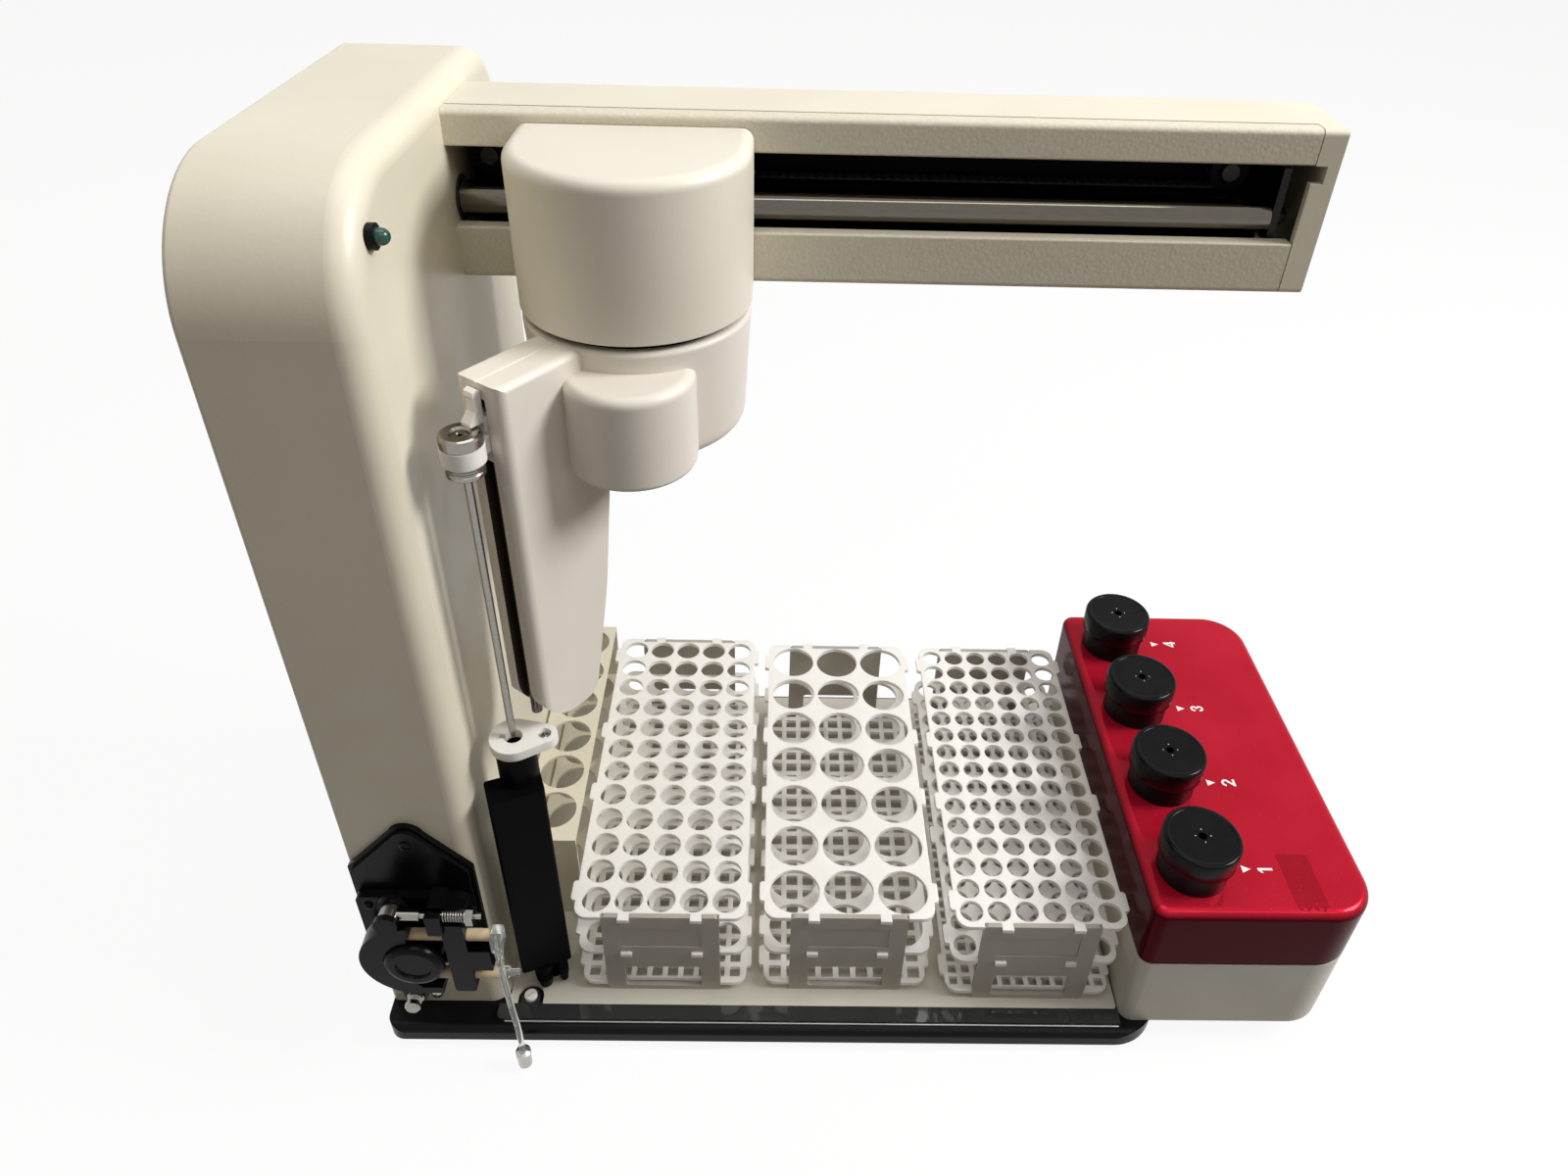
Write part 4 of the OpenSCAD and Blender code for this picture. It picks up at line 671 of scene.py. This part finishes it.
def toothed_belt():
    """a belt with teeth 5 mm apart on its inside, round the two pulleys"""
    low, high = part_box("drive_belt")
    radius = (high.z - low.z) / 2
    left, right, middle = low.x + radius, high.x - radius, (low.z + high.z) / 2
    wide = high.y - low.y
    clear_selection()
    bpy.ops.mesh.primitive_circle_add(vertices=48, radius=radius, rotation=(math.pi / 2, 0, 0))
    band = named("toothed_belt")
    edit_all()
    bpy.ops.mesh.extrude_region_move(TRANSFORM_OT_translate={"value": (0, wide, 0)})
    pick(band, "VERT", lambda at, out: at.x > 0.1 * MM)
    bpy.ops.transform.translate(value=(right - left, 0, 0))
    bpy.ops.object.mode_set(mode="OBJECT")
    band.location = (left, low.y, middle)
    bpy.ops.object.transform_apply(location=True)
    edit_all()
    bpy.ops.mesh.normals_make_consistent(inside=False)
    modify(band, "SOLIDIFY", thickness=0.7 * MM, offset=-1)
    across = low.y + wide / 2
    upper, lower = middle + radius - TOOTH_INSIDE, middle - radius + TOOTH_INSIDE
    # the teeth round one pulley, and the same turned over for the other
    bend = belt_tooth((left, across, upper), wide, middle)
    edit_all()
    bpy.ops.mesh.spin(steps=5, angle=-math.pi, center=(left, 0, middle), axis=(0, 1, 0), dupli=True)
    only(bend)
    bpy.ops.object.duplicate()
    other = bpy.context.object
    other.rotation_euler = (0, math.pi, 0)
    other.location = (left + right, 0, 2 * middle)
    join(band, [bend, other])
    for level in (upper, lower):
        row = belt_tooth((left + TOOTH_PITCH, across, level), wide, middle)
        modify(
            row, "ARRAY", use_relative_offset=False, use_constant_offset=True,
            constant_offset_displace=(TOOTH_PITCH, 0, 0), count=TEETH,
        )
        join(band, [row])
    close_up(band, BELT, "frame")
    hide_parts("drive_belt")


# ---------------------------------------------------------------- knobs


def knob_row():
    """the first knob's box, the middle of its foot on the lid, and the step to the next knob"""
    low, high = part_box("knob_1")
    step = Vector((0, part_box("knob_2")[0].y - low.y, 0))
    middle = Vector(((low.x + high.x) / 2, (low.y + high.y) / 2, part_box("pod_lid")[1].z + 0.4 * MM))
    return low, high, middle, step


def grow(middle, rise, width):
    """extrudes the picked face upwards by rise, then widens it round middle"""
    bpy.ops.mesh.extrude_region_move(TRANSFORM_OT_translate={"value": (0, 0, rise)})
    bpy.ops.transform.resize(value=(width, width, 1), center_override=middle)


def knob_body(low, high, middle, face):
    """a knob: skirt, shadow gap, cap with a rolled rim, dished face with a bored middle and a small ring"""
    wide, tall, near = (high.x - low.x) / 2, high.z - middle.z, 0.05 * MM
    skirt, gap, rim, dish = 0.46 * tall, 0.05 * tall, 0.95 * wide, 0.87 * wide
    profile = (
        (0, 0.93), (gap, 1),  # the shadow gap
        (0, 1.172), (0.02 * tall, 1.02), (0.47 * tall, 1),  # the cap's foot and side
        (0, 0.86), (-0.4 * MM, 0.98),  # its top and the dish
        (-0.2 * MM, 0.135), (-6 * MM, 1),  # the face and its bore
    )
    clear_selection()
    bpy.ops.mesh.primitive_cylinder_add(
        vertices=96, radius=0.9 * wide, depth=skirt, location=middle + Vector((0, 0, skirt / 2))
    )
    knob = named("turned_knob_1")
    pick(knob, "FACE", lambda at, out: out.z > 0.9)
    for rise, width in profile:
        grow(middle, rise, width)
    pick(knob, "EDGE", lambda at, along: at.z > high.z - near and (at - middle).xy.length > rim)
    bpy.ops.mesh.bevel(offset=2.2 * MM, segments=5, affect="EDGES")
    pick(knob, "EDGE", lambda at, along: abs(at.z - middle.z - skirt - gap) < near
         and (at - middle).xy.length > rim)
    bpy.ops.mesh.bevel(offset=0.35 * MM, segments=2, affect="EDGES")
    pick(knob, "EDGE", lambda at, along: at.z > high.z - near and (at - middle).xy.length < dish)
    bpy.ops.mesh.bevel(offset=0.4 * MM, segments=2, affect="EDGES")
    clear_selection()
    bpy.ops.mesh.primitive_torus_add(
        major_radius=1.1 * MM, minor_radius=0.25 * MM, major_segments=24, minor_segments=6,
        location=(middle.x + 13.9 * MM, middle.y + 0.8 * MM, face),
    )
    join(knob, [bpy.context.object])
    return knob


def knob_pins(middle, face):
    """the round heads of four pins about the knob's bore"""
    clear_selection()
    bpy.ops.mesh.primitive_uv_sphere_add(
        segments=12, ring_count=8, radius=0.6 * MM, location=(middle.x + 4.6 * MM, middle.y, face - 0.05 * MM)
    )
    pins = named("knob_pins_1")
    pick(pins, "VERT", lambda at, out: at.z < face - 0.25 * MM)
    bpy.ops.mesh.delete(type="VERT")
    bpy.ops.mesh.select_all(action="SELECT")
    bpy.ops.mesh.spin(steps=3, angle=1.5 * math.pi, center=middle, axis=(0, 0, 1), dupli=True)
    bpy.ops.object.mode_set(mode="OBJECT")
    return pins


def turned_knobs():
    """the four knobs, and the pins in each one's face"""
    low, high, middle, step = knob_row()
    face = high.z - 0.5 * MM
    knob, pins = knob_body(low, high, middle, face), knob_pins(middle, face)
    for n, piece in enumerate(four(knob, "turned_knob", step), 1):
        acetal = turned_acetal(f"black_turned_acetal_{n}", middle + step * (n - 1))
        close_up(piece, acetal, f"knob_{n}", angle=40)
        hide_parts(f"knob_{n}")
    for n, piece in enumerate(four(pins, "knob_pins", step), 1):
        close_up(piece, STEEL, f"knob_{n}", angle=60)


# ---------------------------------------------------------------- small trim

# the radius of the guide bar, and of the seal round it
BAR_R, SEAL_R = 9.2 * MM, 11.6 * MM
# how far a flat piece lies above the lid
LID_GAP = 0.02 * MM


def groove_shade_strip():
    """a dark strip of painted shade at the bottom of the groove that the probe slider runs in"""
    size = (0.3 * MM, 8.6 * MM, 193 * MM)
    clear_selection()
    # painted shade: a dark sheet where the groove's floor lies in shade
    bpy.ops.mesh.primitive_cube_add(size=1, location=(GROOVE_FLOOR + 0.35 * MM, 0, GROOVE_MIDDLE))
    strip = named("groove_shade_strip", size)
    modify(strip, "BEVEL", width=0.1 * MM, segments=2)
    strip.location = HEAD
    strip.rotation_euler = (0, 0, HOME)
    close_up(strip, BLACK_MATT, "rotor")


def guide_bar():
    """the ground bar that the carriage hangs on, as thick as the photograph shows, its far end chamfered"""
    low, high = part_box("guide_shaft")
    middle = (low + high) / 2
    clear_selection()
    bpy.ops.mesh.primitive_cylinder_add(
        vertices=72, radius=BAR_R, depth=high.x - low.x, rotation=(0, math.pi / 2, 0), location=middle
    )
    bar = named("guide_bar")
    # a rim and a centre hole in the end face
    pick(bar, "FACE", lambda at, out: out.x > 0.9)
    for rim in (1.2 * MM, 4 * MM):
        bpy.ops.mesh.inset(thickness=rim)
    bpy.ops.mesh.extrude_region_move(TRANSFORM_OT_translate={"value": (-1.5 * MM, 0, 0)})
    pick(bar, "EDGE", lambda at, along: at.x > high.x - 0.05 * MM and (at - middle).yz.length > 0.97 * BAR_R)
    bpy.ops.mesh.bevel(offset=0.8 * MM, segments=2, affect="EDGES")
    close_up(bar, CHROME_SHADED, "frame")
    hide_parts("guide_shaft")


def shaft_seal():
    """the dark washer round the bar where it enters the tower"""
    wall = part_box("tower_shell")[1].x
    low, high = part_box("guide_shaft")
    clear_selection()
    bpy.ops.mesh.primitive_circle_add(
        vertices=64, radius=SEAL_R, fill_type="NGON", rotation=(0, math.pi / 2, 0),
        location=(wall + 0.1 * MM, (low.y + high.y) / 2, (low.z + high.z) / 2),
    )
    ring = named("shaft_seal")
    edit_all()
    bpy.ops.mesh.inset(thickness=SEAL_R - BAR_R - 0.2 * MM)
    bpy.ops.mesh.delete(type="FACE")
    modify(ring, "SOLIDIFY", thickness=0.8 * MM, offset=1)
    modify(ring, "BEVEL", width=0.25 * MM, segments=2)
    close_up(ring, FEET, "frame")


def strip_edge():
    """the sawn front edge of the clear strip, which catches the light"""
    low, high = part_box("clear_strip")
    at = ((low.x + high.x) / 2 + 2 * MM, low.y - 0.3 * MM, low.z + 0.5 * MM)
    clear_selection()
    bpy.ops.mesh.primitive_cube_add(size=1, location=at)
    edge = named("strip_edge", (high.x - low.x - 6 * MM, 0.5 * MM, 0.9 * MM))
    modify(edge, "BEVEL", width=0.15 * MM, segments=2)
    close_up(edge, SAWN_EDGE, "frame")


def nylon_screw():
    """the slotted screw that holds the clear strip down in the deck's notch"""
    radius, tall, slot_size = 4 * MM, 2.6 * MM, (10 * MM, 1 * MM, 1.6 * MM)
    foot = Vector((
        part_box("tower_shell")[1].x + 13 * MM,
        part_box("deck_plate")[0].y + 4.5 * MM,
        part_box("clear_strip")[0].z + 3.02 * MM,
    ))
    clear_selection()
    bpy.ops.mesh.primitive_cylinder_add(
        vertices=48, radius=radius, depth=tall, location=foot + Vector((0, 0, tall / 2))
    )
    screw = named("nylon_screw")
    pick(screw, "EDGE", lambda at, along: at.z > foot.z + tall - 0.1 * MM)
    bpy.ops.mesh.bevel(offset=0.8 * MM, segments=4, affect="EDGES")
    clear_selection()
    bpy.ops.mesh.primitive_cube_add(size=1, location=foot + Vector((0, 0, tall)), rotation=(0, 0, 0.6))
    slot = named("screw_slot", slot_size)
    modify(screw, "BOOLEAN", operation="DIFFERENCE", object=slot)
    only(slot)
    bpy.ops.object.delete()
    close_up(screw, NYLON, "frame")


def tape_film():
    """a strip of worn film left on the lid, its front end torn"""
    at_x, at_y, size, torn = 258 * MM, -105.5 * MM, (19 * MM, 38 * MM, 1), -124 * MM
    clear_selection()
    bpy.ops.mesh.primitive_grid_add(
        x_subdivisions=24, y_subdivisions=40, size=1,
        location=(at_x, at_y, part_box("pod_lid")[1].z + LID_GAP),
    )
    film = named("worn_film", size)
    for vert in film.data.vertices:
        if vert.co.y < torn:
            across = vert.co.x / MM
            vert.co.y += (1.6 * math.sin(1.3 * across) + 0.8 * math.sin(4.7 * across)) * MM
        vert.co.x += 0.12 * math.sin(vert.co.y / MM) * MM
    modify(film, "SOLIDIFY", thickness=0.08 * MM, offset=1)
    close_up(film, RED_FILM, "frame")


def lid_print():
    """the numerals of the solids, and beside each knob a triangle that points at its numeral"""
    numerals_x, arrow_x, arrow_size = 233 * MM, 226.9 * MM, (5.4 * MM, 5.2 * MM, 1)
    middle, step = knob_row()[2:]
    marks = bpy.data.objects.new("lid_print", nodes["pod_marks"].data.copy())
    scene.collection.objects.link(marks)
    only(marks)
    pick(marks, "FACE", lambda at, out: at.x < numerals_x)
    bpy.ops.mesh.delete(type="FACE")
    clear_selection()
    bpy.ops.mesh.primitive_plane_add(size=1, location=(arrow_x, 0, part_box("pod_lid")[1].z + LID_GAP))
    arrow = named("arrow_1", arrow_size)
    pick(arrow, "VERT", lambda at, out: at.x > arrow_x)
    bpy.ops.mesh.merge(type="CENTER")
    modify(arrow, "SOLIDIFY", thickness=0.15 * MM, offset=1)
    arrow.location.y = middle.y
    bpy.ops.object.transform_apply(location=True)
    join(marks, four(arrow, "arrow", step))
    close_up(marks, INK, "frame", angle=20)
    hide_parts("pod_marks")


spring_wire()
pump_hose()
toothed_belt()
turned_knobs()
groove_shade_strip()
guide_bar()
shaft_seal()
strip_edge()
nylon_screw()
tape_film()
lid_print()

# ---------------------------------------------------------------- floor, light

# the share of the floor's look that is its own light, so that its shadows stay soft
FLOOR_GLOW = 0.92
# the strength of the world where it only lights, and where it is seen
WORLD_LIGHT, WORLD_SEEN = 0.15, 0.95


def looked_at(tree):
    """1 for rays that show a surface straight, mirrored or through something clear, 0 for those that light"""
    path = put(tree, "ShaderNodeLightPath", {})
    mirrored = put(tree, "ShaderNodeMath", {
        "operation": "MAXIMUM", 0: path.outputs["Is Camera Ray"], 1: path.outputs["Is Glossy Ray"]})
    return put(tree, "ShaderNodeMath", {
        "operation": "MAXIMUM", 0: mirrored, 1: path.outputs["Is Transmission Ray"]})


def white_paper():
    """Paper that looks nearly white and keeps a soft shadow, but throws only a warm grey back."""
    made = bpy.data.materials.new("white_paper_floor")
    made.use_nodes = True
    tree = made.node_tree
    tree.nodes.clear()
    view = looked_at(tree)
    share = put(tree, "ShaderNodeMath", {"operation": "MULTIPLY", 0: view, 1: FLOOR_GLOW})
    sheet = put(tree, "ShaderNodeMix", {
        "data_type": "RGBA", "Factor": view, MIX_A: linear("#66615b"), MIX_B: linear("#f6f6f5")})
    matt = put(tree, "ShaderNodeBsdfDiffuse", {"Color": sheet})
    glow = put(tree, "ShaderNodeEmission", {"Color": linear("#ffffff"), "Strength": 1.0})
    both = put(tree, "ShaderNodeMixShader", {0: share, 1: matt, 2: glow})
    put(tree, "ShaderNodeOutputMaterial", {"Surface": both})
    return made


def studio_world():
    """a white background that lights the object only a little, and warmly"""
    made = bpy.data.worlds.new("studio")
    made.use_nodes = True
    tree = made.node_tree
    tree.nodes.clear()
    view = looked_at(tree)
    strength = put(tree, "ShaderNodeMapRange", {"Value": view, "To Min": WORLD_LIGHT, "To Max": WORLD_SEEN})
    air = put(tree, "ShaderNodeMix", {
        "data_type": "RGBA", "Factor": view, MIX_A: linear("#fff3e7"), MIX_B: linear("#ffffff")})
    sky = put(tree, "ShaderNodeBackground", {"Color": air, "Strength": strength})
    put(tree, "ShaderNodeOutputWorld", {"Surface": sky})
    return made


def soft_box(name, at, aim, size, power):
    """a rectangular area lamp that points from one place at another"""
    lamp = bpy.data.lights.new(name, "AREA")
    lamp.shape = "RECTANGLE"
    lamp.size, lamp.size_y = size
    lamp.energy = power
    made = bpy.data.objects.new(name, lamp)
    scene.collection.objects.link(made)
    made.location = at
    made.rotation_euler = (Vector(aim) - Vector(at)).to_track_quat("-Z", "Y").to_euler()


clear_selection()
bpy.ops.mesh.primitive_plane_add(size=30, location=(0, 0, 0))
floor = bpy.context.object
floor.name = "floor"
floor.data.materials.append(white_paper())
scene.world = studio_world()
soft_box("right_light", at=(1.8, -0.1, 1.75), aim=(0, 0, 0.25), size=(0.8, 0.8), power=54)
soft_box("front_glint", at=(0.45, -1.0, 1.75), aim=(0.15, -0.05, 0.2), size=(1.7, 0.12), power=4.5)
soft_box("ceiling_light", at=(-0.1, 0.2, 2.4), aim=(0, 0, 0.2), size=(1.8, 1.4), power=18.5)
